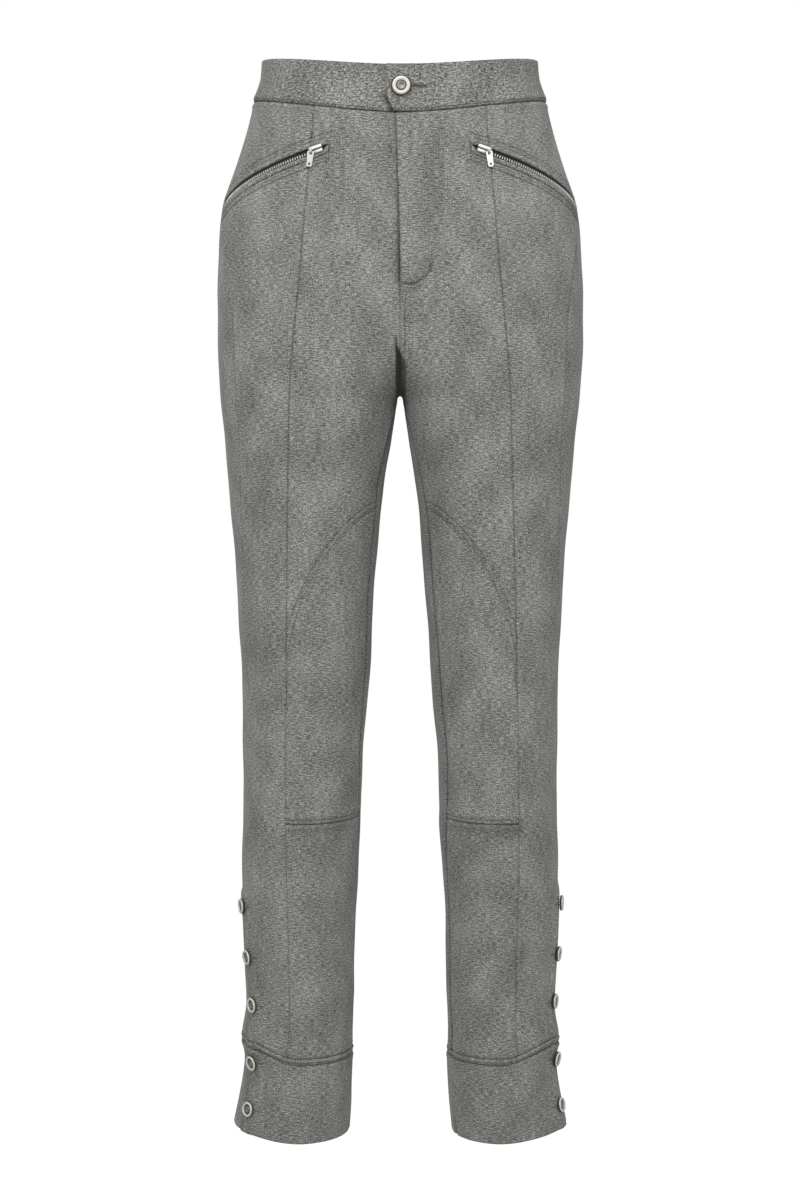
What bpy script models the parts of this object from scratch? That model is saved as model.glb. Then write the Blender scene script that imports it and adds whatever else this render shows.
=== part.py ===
"""Knit trousers with riding-style knee patches, curved zipped hip pockets and buttoned ankles.

The garment keeps the hollow form it has when worn. Its origin is the middle of the waist, at half the height
of the waistband. +Z is up, the front faces -Y, and +X is the wearer's left. Tables and sizes are millimetres.

The whole form is one function of two lengths: `height`, and `along`, the length measured round one leg's
half of the garment in a level section. Above the fork a section is open and runs from the centre front,
round the side, to the centre back. Below the fork it is a closed ring that starts at the inner leg. Every
cloth piece is a patch of that form between its own seams.
"""

import math

import bmesh
import bpy
import numpy as np
from mathutils import Matrix, Vector

MM = 0.001

# ---- driving sizes ---------------------------------------------------------------------------------------
CLOTH = 1.6             # one layer of the knit
BAND_CLOTH = 3.0        # waistband: two layers with an interlining
SEAM = 0.2              # each piece stops this far from the line of its seam
LAP = 2.0               # how far a lapping edge is raised, one layer and a gap
REST_GAP = 0.3          # under what is sewn on

FORK = -297.0           # height of the fork, where the four leg seams meet
FRONT_FORK_RISE = 62.0  # height over which the centre front curves in to the fork
BACK_FORK_RISE = 120.0  # the same at the centre back
ARCH = (3.2, 6.0)       # half width and height of the round top of the gap between the legs
ARCH_FADES = (-320.0, -480.0)   # heights over which the legs' inner sides lose its shape
FLY_BOTTOM = -190.0     # foot of the fly's lapping edge
FLY_LAP = 4.5           # how far the fly laps past the middle at the waist
BAND_LAP = 12.0         # how far the waistband's end laps past the middle
BAND_UNDERLAP = 2.0     # where the other end stops
KNEE = -695.0           # seam below the knee patch
PATCH_IN = -402.0       # where the patch's upper seam leaves the inseam
PATCH_DROP = 178.0      # how far that seam drops before it meets the long front seam
PLACKET_TOP = -758.0    # top of the buttoned opening at the side of the lower leg
PLACKET_LAP = 12.0      # how far the front laps over the back there
BAND_RAISED = 0.8       # the waistband's outside over the form
BAND_LAP_RAISED = 3.6   # more where its end laps over
WAIST_BUTTON_HEIGHT = -15.5
WAIST_BUTTON_RADIUS = 9.3
LEG_BUTTON_RADIUS = 7.5
LEG_BUTTON_HEIGHTS = (-782.0, -830.0, -876.0, -932.0, -978.0)

# Upright lines that the columns of points follow past the fork, where a section's length changes quickly.
FRONT_MARK = 45.0       # distance of such a line from the middle, on the front
BACK_MARK = 85.0        # the same on the back

# Level sections of one leg's half. A row gives the height, the half width to the outside, the distance from
# the middle to the inner leg less what ARCH adds, the middle of the leg, the front, the back, the power of the rounded outline
# (2 is an ellipse), the depth at which the side seam lies, how far the inseam lies forward of the inner leg
# along the ring, and the distance of the long front seam from the middle.
SECTION_COLUMNS = "height outer inner middle front back power side_seam inseam long_seam".split()
SECTIONS = np.array([
    (30, 128.5, 0.0, 0.0, -91, 89, 2.10, 0, 0, 77.0),
    (0, 129.5, 0.0, 0.0, -93, 92, 2.10, 0, 0, 77.0),
    (-20, 135.8, 0.0, 4.0, -94, 94, 2.10, 0, 0, 77.5),
    (-35, 139.0, 0.0, 8.0, -95, 95, 2.12, 0, 0, 78.2),
    (-66, 148.1, 0.0, 14.0, -98, 99, 2.16, 0, 0, 81.3),
    (-85, 154.5, 0.0, 18.0, -99, 103, 2.18, -3, 0, 83.0),
    (-122, 167.0, 0.0, 26.0, -102, 112, 2.22, -17, 0, 86.3),
    (-169, 171.2, 0.0, 38.0, -104, 119, 2.26, -42, 0, 90.2),
    (-207, 173.0, 0.0, 50.0, -104, 120, 2.30, -56, 0, 93.9),
    (-244, 172.4, 0.0, 66.0, -102, 114, 2.34, -65, 0, 97.6),
    (-297, 169.6, 0.0, 85.0, -98, 103, 2.40, -68, 0, 101.2),
    (-302, 169.2, 0.3, 86.0, -98, 102, 2.40, -68, 14, 101.4),
    (-310, 168.6, 1.2, 86.5, -97, 101, 2.40, -68, 26, 101.6),
    (-339, 165.8, 5.5, 87.2, -95, 97, 2.36, -66, 42, 102.4),
    (-377, 162.5, 11.9, 88.4, -92, 92, 2.32, -61, 45, 103.3),
    (-415, 159.6, 17.6, 89.2, -89, 86, 2.28, -55, 44, 104.4),
    (-492, 154.0, 25.2, 89.6, -84, 76, 2.20, -40, 39, 106.2),
    (-569, 150.6, 29.6, 90.1, -79, 67, 2.14, -20, 37, 107.8),
    (-646, 150.1, 36.2, 93.2, -77, 60, 2.10, -8, 32, 109.0),
    (-700, 150.8, 37.4, 94.1, -76, 58, 2.10, -8, 27, 109.4),
    (-724, 151.3, 38.8, 95.0, -73, 59, 2.10, -9, 22, 109.2),
    (-802, 151.9, 43.5, 97.7, -63, 66, 2.10, -26, 14, 108.2),
    (-881, 148.6, 45.6, 97.1, -58, 66, 2.10, -31, 14, 107.2),
    (-917, 153.6, 46.6, 100.1, -57, 64, 2.10, -31, 14, 109.0),
    (-935, 150.8, 45.9, 98.3, -55, 62, 2.10, -31, 14, 109.2),
    (-1010, 163.2, 50.0, 106.5, -55, 66, 2.10, -33, 14, 114.0),
])

# How each leg turns a little on its axis. A row gives the heights between which the turn sets in, and how
# far the long seam, the side seam and the inseam shift; plus on the wearer's left, minus on the right.
TURN_COLUMNS = "above below long_seam side_seam inseam".split()
TURN = dict(zip(TURN_COLUMNS, (-260.0, -760.0, 2.4, 7.0, 9.0)))

WAIST_SEAM = dict(front=-38.4, side=-23.0, back=-21.0)
WAIST_EDGE = dict(front=4.2, side=15.5, back=17.0)

COLOURS = {
    "knit": (0.216, 0.213, 0.200, 1.0),
    "steel": (0.72, 0.72, 0.70, 1.0),
    "button": (0.70, 0.68, 0.62, 1.0),
}


def clear_scene():
    for item in list(bpy.data.objects):
        bpy.data.objects.remove(item, do_unlink=True)


# ---- the form --------------------------------------------------------------------------------------------
def smoothstep(value):
    """Rises from 0 to 1 as the value does, level at both ends."""
    t = np.clip(value, 0.0, 1.0)
    return t * t * (3.0 - 2.0 * t)


def column(name, height):
    """Reads a column of SECTIONS at any height along a curve that never overshoots its rows."""
    table = SECTIONS[::-1]
    heights = table[:, 0]
    values = table[:, SECTION_COLUMNS.index(name)]
    height = np.clip(np.asarray(height, float), heights[0], heights[-1])
    step = np.diff(heights)
    slope = np.diff(values) / step
    left, right = slope[:-1], slope[1:]
    same = left * right > 0
    safe_left = np.where(same, left, 1.0)
    safe_right = np.where(same, right, 1.0)
    weight_a = 2.0 * step[1:] + step[:-1]
    weight_b = step[1:] + 2.0 * step[:-1]
    mean = (weight_a + weight_b) / (weight_a / safe_left + weight_b / safe_right)
    tangent = np.concatenate([slope[:1], np.where(same, mean, 0.0), slope[-1:]])
    i = np.clip(np.searchsorted(heights, height, side="right") - 1, 0, len(step) - 1)
    t = (height - heights[i]) / step[i]
    return (
        (1 + 2 * t) * (1 - t) ** 2 * values[i]
        + t * (1 - t) ** 2 * step[i] * tangent[i]
        + t * t * (3 - 2 * t) * values[i + 1]
        + t * t * (t - 1) * step[i] * tangent[i + 1]
    )


def arch(height):
    """How far the gap's round top keeps the legs apart, besides the distances in SECTIONS."""
    if height >= FORK:
        return 0.0
    share = min((FORK - height) / ARCH[1], 1.0)
    fade = smoothstep((ARCH_FADES[0] - height) / (ARCH_FADES[0] - ARCH_FADES[1]))
    return ARCH[0] * math.sqrt(1 - (1 - share) ** 2) * (1 - float(fade))


def outline(height):
    """The four rounded quarters of a level section: middle, axis, power, and each quarter's reach and depth.

    Above the fork the inner quarters are cut by the middle plane. There their reach is such that they meet
    the plane at the curve of the fork, and it has no end once that curve has risen to the full depth.
    """
    outer, middle, front, back, power = (
        float(column(name, height)) for name in ("outer", "middle", "front", "back", "power")
    )
    axis = 0.25 * (front + back)
    inner = float(column("inner", height)) if height < FORK else 0.0
    reach = {}
    for place, rise_over in (("front", FRONT_FORK_RISE), ("back", BACK_FORK_RISE)):
        if height < FORK:
            reach[place] = middle - inner
            continue
        rise = math.sqrt(1 - (1 - min((height - FORK) / rise_over, 1.0)) ** 2)
        full = rise > 0.9995
        reach[place] = math.inf if full else middle / (1 - rise ** power) ** (1 / power)
    return dict(middle=middle, axis=axis, power=power, outer=outer - middle, inner_front=reach["front"],
                inner_back=reach["back"], front=axis - front, back=back - axis, inner=inner, arch=arch(height))


def spread(form, x):
    """Adds the arch, which acts near the inner leg only: arch * (1 - share of the way to the middle)^6."""
    if form["arch"] == 0:
        return x
    share = np.clip((x - form["inner"]) / (form["middle"] - form["inner"]), 0, 1)
    return x + form["arch"] * (1 - share) ** 6


def unspread(form, x):
    """Undoes `spread` by repeating it until the result stands still."""
    found = x
    for _ in range(24 if form["arch"] > 0 else 0):
        found = x - (spread(form, found) - found)
    return found


def section(height, count=97):
    """One level section: the quarters front inner, front outer, back outer and back inner.

    A quarter is (reach * cos^(2/power), depth * sin^(2/power)).
    """
    form = outline(height)
    middle, axis, power = form["middle"], form["axis"], form["power"]

    def quarter(reach, depth, start, end):
        angle = np.linspace(start, end, count)
        across = np.clip(np.cos(angle), 0, 1) ** (2 / power)
        deep = np.clip(np.sin(angle), 0, 1) ** (2 / power)
        return middle + reach * across, axis + depth * deep

    def inner_quarter(reach, depth):
        if math.isinf(reach):
            return np.linspace(0.0, middle, count), np.full(count, axis + depth)
        start = 0.0 if height < FORK else math.acos((middle / reach) ** (power / 2))
        return quarter(-reach, depth, start, math.pi / 2)

    front_inner = inner_quarter(form["inner_front"], -form["front"])
    front_outer = quarter(form["outer"], -form["front"], math.pi / 2, 0.0)
    back_outer = quarter(form["outer"], form["back"], 0.0, math.pi / 2)
    back_inner = inner_quarter(form["inner_back"], form["back"])
    x = np.concatenate([front_inner[0], front_outer[0][1:], back_outer[0][1:], back_inner[0][::-1][1:]])
    y = np.concatenate([front_inner[1], front_outer[1][1:], back_outer[1][1:], back_inner[1][::-1][1:]])
    return spread(form, x), y


def quarter_at(form, x, y):
    """Reach and depth of the quarter that each point lies in."""
    front = y < form["axis"]
    inner = np.where(front, form["inner_front"], form["inner_back"])
    return np.where(x < form["middle"], inner, form["outer"]), np.where(front, form["front"], form["back"])


def fullness(height, x, y):
    """(x/reach)^power + (y/depth)^power about the section's middle: 1 on the form, more outside it."""
    form = outline(height)
    x = unspread(form, x)
    reach, depth = quarter_at(form, x, y)
    across, deep = np.abs(x - form["middle"]) / reach, np.abs(y - form["axis"]) / depth
    return across ** form["power"] + deep ** form["power"]


def outward(height, x, y):
    """The form's outward direction at points of one section: the way in which fullness grows fastest."""
    form = outline(height)
    power = form["power"]
    reach, depth = quarter_at(form, x, y)
    across, deep = (x - form["middle"]) / reach, (y - form["axis"]) / depth
    low, high = height - 0.4, height + 0.4
    if low < FORK <= height:
        low = height
    if height < FORK <= high:
        high = height
    rise = (fullness(high, x, y) - fullness(low, x, y)) / (high - low)
    x = unspread(form, x)
    across = (x - form["middle"]) / reach
    normal = np.stack([
        power / reach * np.abs(across) ** (power - 1) * np.sign(across),
        power / depth * np.abs(deep) ** (power - 1) * np.sign(deep),
        rise,
    ], axis=-1)
    return normal / np.linalg.norm(normal, axis=-1, keepdims=True)


def run_length(x, y):
    return np.concatenate([[0.0], np.cumsum(np.hypot(np.diff(x), np.diff(y)))])


class Form:
    """The form on a lattice of sections, each divided into equal lengths, read between its points."""

    DIVISIONS = 240

    def __init__(self):
        rise = FORK + BACK_FORK_RISE * (1 - np.cos(np.linspace(0, math.pi / 2, 60)))
        sill = FORK - 4.0 * (1 - np.cos(np.linspace(0, math.pi / 2, 16)))
        plain = np.arange(-1012.0, 31.0, 3.0)
        self.heights = np.unique(np.round(np.concatenate([plain, rise, sill]), 3))
        rows = [self.read_row(height) for height in self.heights]
        self.x = np.array([row[0] for row in rows])
        self.y = np.array([row[1] for row in rows])
        self.length = np.array([row[2] for row in rows])
        self.long_seam = {side: np.array([row[3][side] for row in rows]) for side in (1, -1)}
        self.side_seam = {side: np.array([row[4][side] for row in rows]) for side in (1, -1)}
        self.front_mark = np.array([row[5] for row in rows])
        self.back_mark = np.array([row[6] for row in rows])
        self.normal = np.array([outward(h, x, y) for h, x, y in zip(self.heights, self.x, self.y)])

    def read_row(self, height):
        x, y = section(height)
        run = run_length(x, y)
        along = np.linspace(0.0, run[-1], self.DIVISIONS + 1)
        widest = int(np.argmax(x))
        nearest = int(np.argmin(y))
        farthest = int(np.argmax(y))
        turn = float(smoothstep((TURN["above"] - height) / (TURN["above"] - TURN["below"])))
        long_seam, side_seam = {}, {}
        for side in (1, -1):
            wanted = float(column("long_seam", height)) + side * turn * TURN["long_seam"]
            long_seam[side] = float(np.interp(wanted, x[:widest + 1], run[:widest + 1]))
            depth = float(column("side_seam", height)) + side * turn * TURN["side_seam"]
            side_seam[side] = float(np.interp(depth, y[nearest:farthest + 1], run[nearest:farthest + 1]))
        front_mark = float(np.interp(FRONT_MARK, x[:widest + 1], run[:widest + 1]))
        back_mark = float(np.interp(BACK_MARK, x[widest:][::-1], run[widest:][::-1]))
        points = np.interp(along, run, x), np.interp(along, run, y)
        return *points, run[-1], long_seam, side_seam, front_mark, back_mark

    def place(self, along, height):
        """Points and outward directions of the form, on the wearer's left."""
        along, height = np.broadcast_arrays(np.asarray(along, float), np.asarray(height, float))
        k = np.clip(np.searchsorted(self.heights, height, side="right") - 1, 0, len(self.heights) - 2)
        w = (height - self.heights[k]) / (self.heights[k + 1] - self.heights[k])
        length = self.length[k] * (1 - w) + self.length[k + 1] * w
        open_ring = height >= FORK
        share = along / length
        flip = np.where(open_ring & ((share < 0) | (share > 1)), -1.0, 1.0)
        share = np.where(open_ring, np.abs(share), share % 1.0)
        share = np.where(share > 1, 2 - share, share)
        j = np.clip(np.floor(share * self.DIVISIONS).astype(int), 0, self.DIVISIONS - 1)
        t = share * self.DIVISIONS - j

        def read(lattice):
            near = lattice[k, j] * (1 - t) + lattice[k, j + 1] * t
            far = lattice[k + 1, j] * (1 - t) + lattice[k + 1, j + 1] * t
            return near * (1 - w) + far * w

        point = np.stack([flip * read(self.x), read(self.y), height], axis=-1)
        out = np.stack([read(self.normal[..., axis]) for axis in range(3)], axis=-1)
        out[..., 0] *= flip
        return point, out / np.linalg.norm(out, axis=-1, keepdims=True)

    def ring(self, height):
        return np.interp(height, self.heights, self.length)

    def long(self, height, side):
        return np.interp(height, self.heights, self.long_seam[side])

    def side(self, height, side):
        return np.interp(height, self.heights, self.side_seam[side])

    def front(self, height):
        return np.interp(height, self.heights, self.front_mark)

    def back(self, height):
        return np.interp(height, self.heights, self.back_mark)


FORM = Form()


def inseam(height, side):
    """Where the inseam lies along the ring; 0 above the fork."""
    turn = smoothstep((TURN["above"] - height) / (TURN["above"] - TURN["below"]))
    return np.where(height >= FORK, 0.0, column("inseam", height) + side * turn * TURN["inseam"])


def inseam_gap(height, side):
    """SEAM measured across the inseam, which slants near the fork."""
    slope = (inseam(height + 0.5, side) - inseam(height - 0.5, side)) * (height < FORK - 1)
    return SEAM * np.sqrt(1 + slope ** 2)


def waist_line(line, along, height):
    """Height of the waist seam or the waistband's edge, from its dip at the front, by the distance to the side."""
    point = FORM.place(along, height)[0]
    share = np.clip(np.abs(point[..., 0]) / 134.0, 0, 1) ** 1.5
    end = np.where(point[..., 1] < 0, line["front"], line["back"])
    return end + (line["side"] - end) * share


def waist_seam(along):
    return waist_line(WAIST_SEAM, along, -30.0)


def waist_edge(along):
    return waist_line(WAIST_EDGE, along, 5.0)


def lip(past_seam):
    """Upper edge of the pocket, by the length past the long front seam."""
    return -70.5 - 0.30 * past_seam - 0.00066 * past_seam ** 2


POCKET_END = -18.0      # the pocket starts this far before the long seam


def pocket_foot(past_seam):
    """Seam below the pocket's welt."""
    depth = 11.0 + np.where(past_seam < 0, 0.08 * past_seam, 4.0 * (past_seam / 120.0) ** 2)
    return lip(past_seam) - depth


def pocket_reach(side):
    """Length of the pocket from the long seam to the side seam."""
    return FORM.side(-110.0, side) - FORM.long(-80.0, side)


def pocket_gap(past_seam):
    """Width of the opening between lip and welt, which the zip fills; it closes at the front end."""
    return 0.6 + 5.8 * smoothstep((past_seam - POCKET_END) / 6.0)


def patch_seam(share):
    """Upper seam of the knee patch, by the share of the way from the inseam to the long seam."""
    return PATCH_IN - PATCH_DROP * (1 - (1 - share ** 2) ** (1 / 1.8))


def cuff_seam(along, height=-925.0):
    """Seam of the cuff: it rises a little towards the outside of the leg."""
    x = FORM.place(along, height)[0][..., 0]
    return -931.0 + 14.0 * smoothstep((x - 95.0) / 55.0)


def hem_line(along):
    x = FORM.place(along, -1000.0)[0][..., 0]
    return -1008.0 + 8.0 * smoothstep((x - 90.0) / 75.0)


# ---- from patches of the form to solids ------------------------------------------------------------------
def material(name):
    found = bpy.data.materials.get(name)
    if found:
        return found
    made = bpy.data.materials.new(name)
    made.use_nodes = True
    shader = made.node_tree.nodes["Principled BSDF"]
    shader.inputs["Base Color"].default_value = COLOURS[name]
    shader.inputs["Roughness"].default_value = 0.9 if name == "knit" else 0.3
    shader.inputs["Metallic"].default_value = 0.0 if name == "knit" else 1.0
    return made


def add_object(name, mesh, finish, smooth_below=35.0):
    mesh.materials.append(material(finish))
    mesh.shade_smooth()
    mesh.set_sharp_from_angle(angle=math.radians(smooth_below))
    item = bpy.data.objects.new(name, mesh)
    bpy.context.scene.collection.objects.link(item)
    return item


def wall(name, outer, inner):
    """Closes two grids of points, the right side and the wrong side of a cloth, into one solid wall."""
    rows, columns = outer.shape[:2]
    size = rows * columns
    index = np.arange(size).reshape(rows, columns)
    faces = []
    for r in range(rows - 1):
        for c in range(columns - 1):
            a, b, d, e = index[r, c], index[r, c + 1], index[r + 1, c + 1], index[r + 1, c]
            faces.append((a, e, d, b))
            faces.append((a + size, b + size, d + size, e + size))
    border = np.concatenate([index[0], index[1:, -1], index[-1, -2::-1], index[-2:0:-1, 0]])
    for a, b in zip(border, np.roll(border, -1)):
        faces.append((a, b, b + size, a + size))
    points = np.concatenate([outer.reshape(-1, 3), inner.reshape(-1, 3)]) * MM
    mesh = bpy.data.meshes.new(name)
    mesh.from_pydata(points.tolist(), [], [tuple(int(i) for i in face) for face in faces])
    work = bmesh.new()
    work.from_mesh(mesh)
    bmesh.ops.recalc_face_normals(work, faces=work.faces)
    work.to_mesh(mesh)
    work.free()
    return add_object(name, mesh, "knit")


def cloth_points(along, height, side, raised=0.0, thickness=CLOTH, keep_clear=True):
    """Right and wrong side of a patch; `raised` lifts it off the form, and the middle plane stays clear."""
    point, out = FORM.place(along, height)
    raised = np.broadcast_to(np.asarray(raised, float), height.shape)[..., None]
    outer = point + out * raised
    inner = outer - out * thickness
    if keep_clear:
        for grid in (outer, inner):
            grid[..., 0] = np.maximum(grid[..., 0], SEAM)
    if side < 0:
        outer = outer * (-1.0, 1.0, 1.0)
        inner = inner * (-1.0, 1.0, 1.0)
    return outer, inner


def cloth(name, along, height, side, **how):
    along, height = np.broadcast_arrays(along, height)
    return wall(name, *cloth_points(along, height, side, **how))


def between(start, end, share):
    return start + (end - start) * share


# Levels of the solids' rows, and the shares at which their columns lie.
HIP_LEVELS = np.array([-95.0, -122.0, -155.0, -180.0, FLY_BOTTOM, -200.0, -216.0, -234.0, -250.0, -265.0,
                       -278.0, -288.0, -294.0, FORK])
INSEAM_SHARES = np.array([0.03, 0.08, 0.16, 0.30, 0.50, 0.75, 1.0])
KNEE_SHARES = np.array([0.0, 0.12, 0.28, 0.45, 0.62, 0.8, 1.0])
SHIN_LEVELS = np.array([-735.0, -780.0, -830.0, -862.0, -881.0, -900.0])
LEG_LEVELS = np.concatenate([
    [-155.0, -180.0], HIP_LEVELS[6:], FORK + (PATCH_IN - FORK) * INSEAM_SHARES,
    [-450.0, -500.0, -550.0, -600.0, -650.0, KNEE, SHIN_LEVELS[0]],
])
FRONT_SHARES = np.array([0.0, 0.13, 0.3, 0.47, 0.64, 0.8, 0.91, 1.0])
SHIN_SHARES = np.linspace(0, 1, 7)
SIDE_SHARES = np.linspace(0, 1, 5)
YOKE_SHARES = np.linspace(0, 1, 8)
YOKE_ROWS = np.linspace(0, 1, 4)
BACK_OUTER = np.linspace(0, 1, 6)
BACK_INNER = np.linspace(0, 1, 5)


def back_columns(height, side, start, stop):
    """Places from the side seam to the upright line of the back, and on to the middle or the inseam."""
    mark = FORM.back(height)
    return np.concatenate([
        between(start, mark, BACK_OUTER.reshape(-1, *[1] * np.ndim(height))),
        between(mark, stop, BACK_INNER[1:].reshape(-1, *[1] * np.ndim(height))),
    ])


def fly_edge(height):
    """The fly's lapping edge: it draws back to the middle towards its foot."""
    share = np.clip((WAIST_SEAM["front"] - height) / (WAIST_SEAM["front"] - FLY_BOTTOM), 0, 1)
    return SEAM - (FLY_LAP + SEAM) * (1 - share) ** 1.5


# Where a row's last three columns lie before the long seam: beside the pocket's end, and along the cut for it.
BESIDE_POCKET = POCKET_END * np.array([1.0, 0.5, 0.0])
ROUND_POCKET = POCKET_END + np.array([-0.7, -0.2, 0.0])
CORNER_RISE = np.array([0.25, 0.15, 0.0])


def front_columns(height, start, stop, kept):
    """Places from the middle or the inseam to the long seam; `kept` is how closely they keep to FRONT_MARK."""
    mark = (FORM.front(height) - start) / (stop - start)
    half = FRONT_SHARES[3]
    mark = between(half, mark, kept)
    below = FRONT_SHARES / half * mark
    above = mark + (FRONT_SHARES - half) / (1 - half) * (1 - mark)
    return start + (stop - start) * np.where(FRONT_SHARES <= half, below, above)


def front_rows(side):
    """Rows of the upper front: heights across the piece, where its last columns lie, and how upright they are."""
    shares = FRONT_SHARES
    waist = waist_seam(front_columns(-34.0, 0.0, FORM.long(-34.0, side), 1.0)) - SEAM
    above, below = lip(POCKET_END) + SEAM, pocket_foot(POCKET_END) - SEAM
    inner = np.zeros(len(shares) - 3)
    last = np.concatenate([inner, 1 - BESIDE_POCKET / POCKET_END])
    corner = np.concatenate([inner, CORNER_RISE])
    rows = [
        (waist, None, 1.0),
        (between(waist, above, 0.55), None, 1.0),
        (between(above + 2 * SEAM, lip(0.0) + SEAM, last), BESIDE_POCKET, 1.0),
        (above + corner, ROUND_POCKET, 1.0),
        (below - corner, ROUND_POCKET, 1.0),
        (between(below - 2 * SEAM, pocket_foot(0.0) - SEAM, last), BESIDE_POCKET, 1.0),
    ]
    rows += [(np.full_like(shares, level), None, 1.0) for level in HIP_LEVELS]
    rows += [(between(FORK, patch_seam(shares), share), None, 1.0 - share) for share in INSEAM_SHARES]
    return rows


def patch_seam_gap(side):
    """SEAM as a drop in height, across the slanting seam of the knee patch."""
    heights = patch_seam(FRONT_SHARES)
    along = between(inseam(heights, side), FORM.long(heights, side), FRONT_SHARES)
    slope = np.gradient(heights) / np.gradient(along)
    return SEAM * np.minimum(np.sqrt(1 + slope ** 2), 6.0)


def upper_front(side, label):
    rows = front_rows(side)
    height = np.array([row[0] for row in rows])
    height[-1] += patch_seam_gap(side)
    start = inseam(height, side) + inseam_gap(height, side)
    stop = FORM.long(height, side) - SEAM
    raised = np.zeros_like(height)
    laps = side > 0
    if laps:
        start = np.where(height >= FLY_BOTTOM, fly_edge(height), start)
    kept = np.array([row[2] for row in rows])[:, None]
    along = front_columns(height, start, stop, kept)
    for r, (_, tail, _) in enumerate(rows):
        if tail is not None:
            along[r, -3:] = stop[r, -3:] + tail
    if laps:
        near = smoothstep((34.0 - along) / 30.0)
        foot = smoothstep((height - FLY_BOTTOM + 28.0) / 26.0)
        raised = LAP * np.where(height > FLY_BOTTOM - 30.0, near * foot, 0.0)
    outer, inner = cloth_points(along, height, side, raised=raised, keep_clear=False)
    clear = along >= 0
    for grid in (outer, inner):
        grid[..., 0] = np.where(clear, side * np.maximum(side * grid[..., 0], SEAM), grid[..., 0])
    wall(f"front_{label}", outer, inner)


def knee_patch(side, label):
    top = patch_seam(FRONT_SHARES) - patch_seam_gap(side)
    height = between(top, KNEE + SEAM, KNEE_SHARES[:, None])
    start = inseam(height, side) + inseam_gap(height, side)
    along = between(start, FORM.long(height, side) - SEAM, FRONT_SHARES)
    cloth(f"knee_patch_{label}", along, height, side)


def shin(side, label):
    levels = np.concatenate([[KNEE - SEAM], SHIN_LEVELS, [0.0]])
    height = np.repeat(levels[:, None], len(SHIN_SHARES), axis=1)
    start, end = inseam(-925.0, side), FORM.long(-925.0, side)
    height[-1] = cuff_seam(between(start, end, SHIN_SHARES)) + SEAM
    start = inseam(height, side) + inseam_gap(height, side)
    cloth(f"shin_{label}", between(start, FORM.long(height, side) - SEAM, SHIN_SHARES), height, side)


def hip_yoke(side, label):
    """The piece between the waistband and the pocket's lip."""
    start, end = FORM.long(-34.0, side), FORM.side(-34.0, side)
    top = waist_seam(between(start, end, YOKE_SHARES)) - SEAM
    foot = lip(pocket_reach(side) * YOKE_SHARES) + SEAM
    height = between(top, foot, YOKE_ROWS[:, None])
    along = between(FORM.long(height, side) + SEAM, FORM.side(height, side) - SEAM, YOKE_SHARES)
    cloth(f"hip_yoke_{label}", along, height, side)


def pocket(side, label):
    """Welt below the opening and the zip's tape behind it."""
    inner = POCKET_END + SEAM
    past = np.concatenate([[inner, inner + 3.0, inner + 6.0], YOKE_SHARES * pocket_reach(side)])
    upper = lip(past) - pocket_gap(past)
    lower = pocket_foot(past) + SEAM

    def strip(name, top, foot, stop, **how):
        height = np.stack([top, foot])
        seam = FORM.long(height, side)
        along = seam + past
        along[:, -1] = FORM.side(height[:, -1], side) - stop
        cloth(name, along, height, side, **how)

    strip(f"pocket_welt_{label}", upper, lower, SEAM)
    strip(f"zip_tape_{label}", lip(past) + 1.2, upper - 1.2, SEAM, raised=-CLOTH - 0.4, thickness=1.0)


def side_panel(side, label):
    """Outer front of the leg, from the pocket to the cuff; below PLACKET_TOP it laps over the back."""
    top = pocket_foot(pocket_reach(side) * YOKE_SHARES) - SEAM
    step = [PLACKET_TOP + 6.0, PLACKET_TOP + SEAM, PLACKET_TOP - SEAM]
    levels = np.concatenate([LEG_LEVELS, step, SHIN_LEVELS[1:], [0.0]])
    height = np.repeat(levels[:, None], len(YOKE_SHARES) + 1, axis=1)
    ankle = between(FORM.long(-925.0, side), FORM.side(-925.0, side), YOKE_SHARES)
    height[-1] = cuff_seam(np.append(ankle, ankle[-1] + PLACKET_LAP)) + SEAM
    height = np.concatenate([np.concatenate([top, top[-1:]])[None], height])
    start = FORM.long(height, side) + SEAM
    stop = FORM.side(height, side)
    along = between(start, stop - 2.0, np.append(YOKE_SHARES, 1.0))
    laps = height[:, 0] < PLACKET_TOP
    along[:, -1] = np.where(laps, stop[:, -1] + PLACKET_LAP, stop[:, -1] - SEAM)
    raised = np.zeros_like(height)
    lifted = height[:, 0] < PLACKET_TOP + 1.0
    raised[lifted, -2:] = LAP
    cloth(f"side_panel_{label}", along, height, side, raised=raised)


def back(side, label):
    """Back of the leg and seat, in one piece from the waist to the cuff."""
    rise = between(WAIST_SEAM["side"], float(lip(pocket_reach(side))), YOKE_ROWS[1:])
    levels = np.concatenate([[0.0], rise, [float(pocket_foot(pocket_reach(side)))], LEG_LEVELS,
                             [PLACKET_TOP], SHIN_LEVELS[1:], [0.0]])
    height = np.repeat(levels[:, None], len(BACK_OUTER) + len(BACK_INNER) - 1, axis=1)
    waist = back_columns(-30.0, side, FORM.side(-30.0, side), FORM.ring(-30.0))
    height[0] = waist_seam(waist) - SEAM
    ankle = FORM.ring(-925.0) + inseam(-925.0, side)
    height[-1] = cuff_seam(back_columns(-925.0, side, FORM.side(-925.0, side), ankle)) + SEAM
    start = FORM.side(height, side) + SEAM
    stop = FORM.ring(height) + inseam(height, side) - inseam_gap(height, side)
    columns = back_columns(height, side, start, stop)
    cloth(f"back_{label}", np.stack([columns[i, :, i] for i in range(len(columns))], axis=1), height, side)


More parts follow.
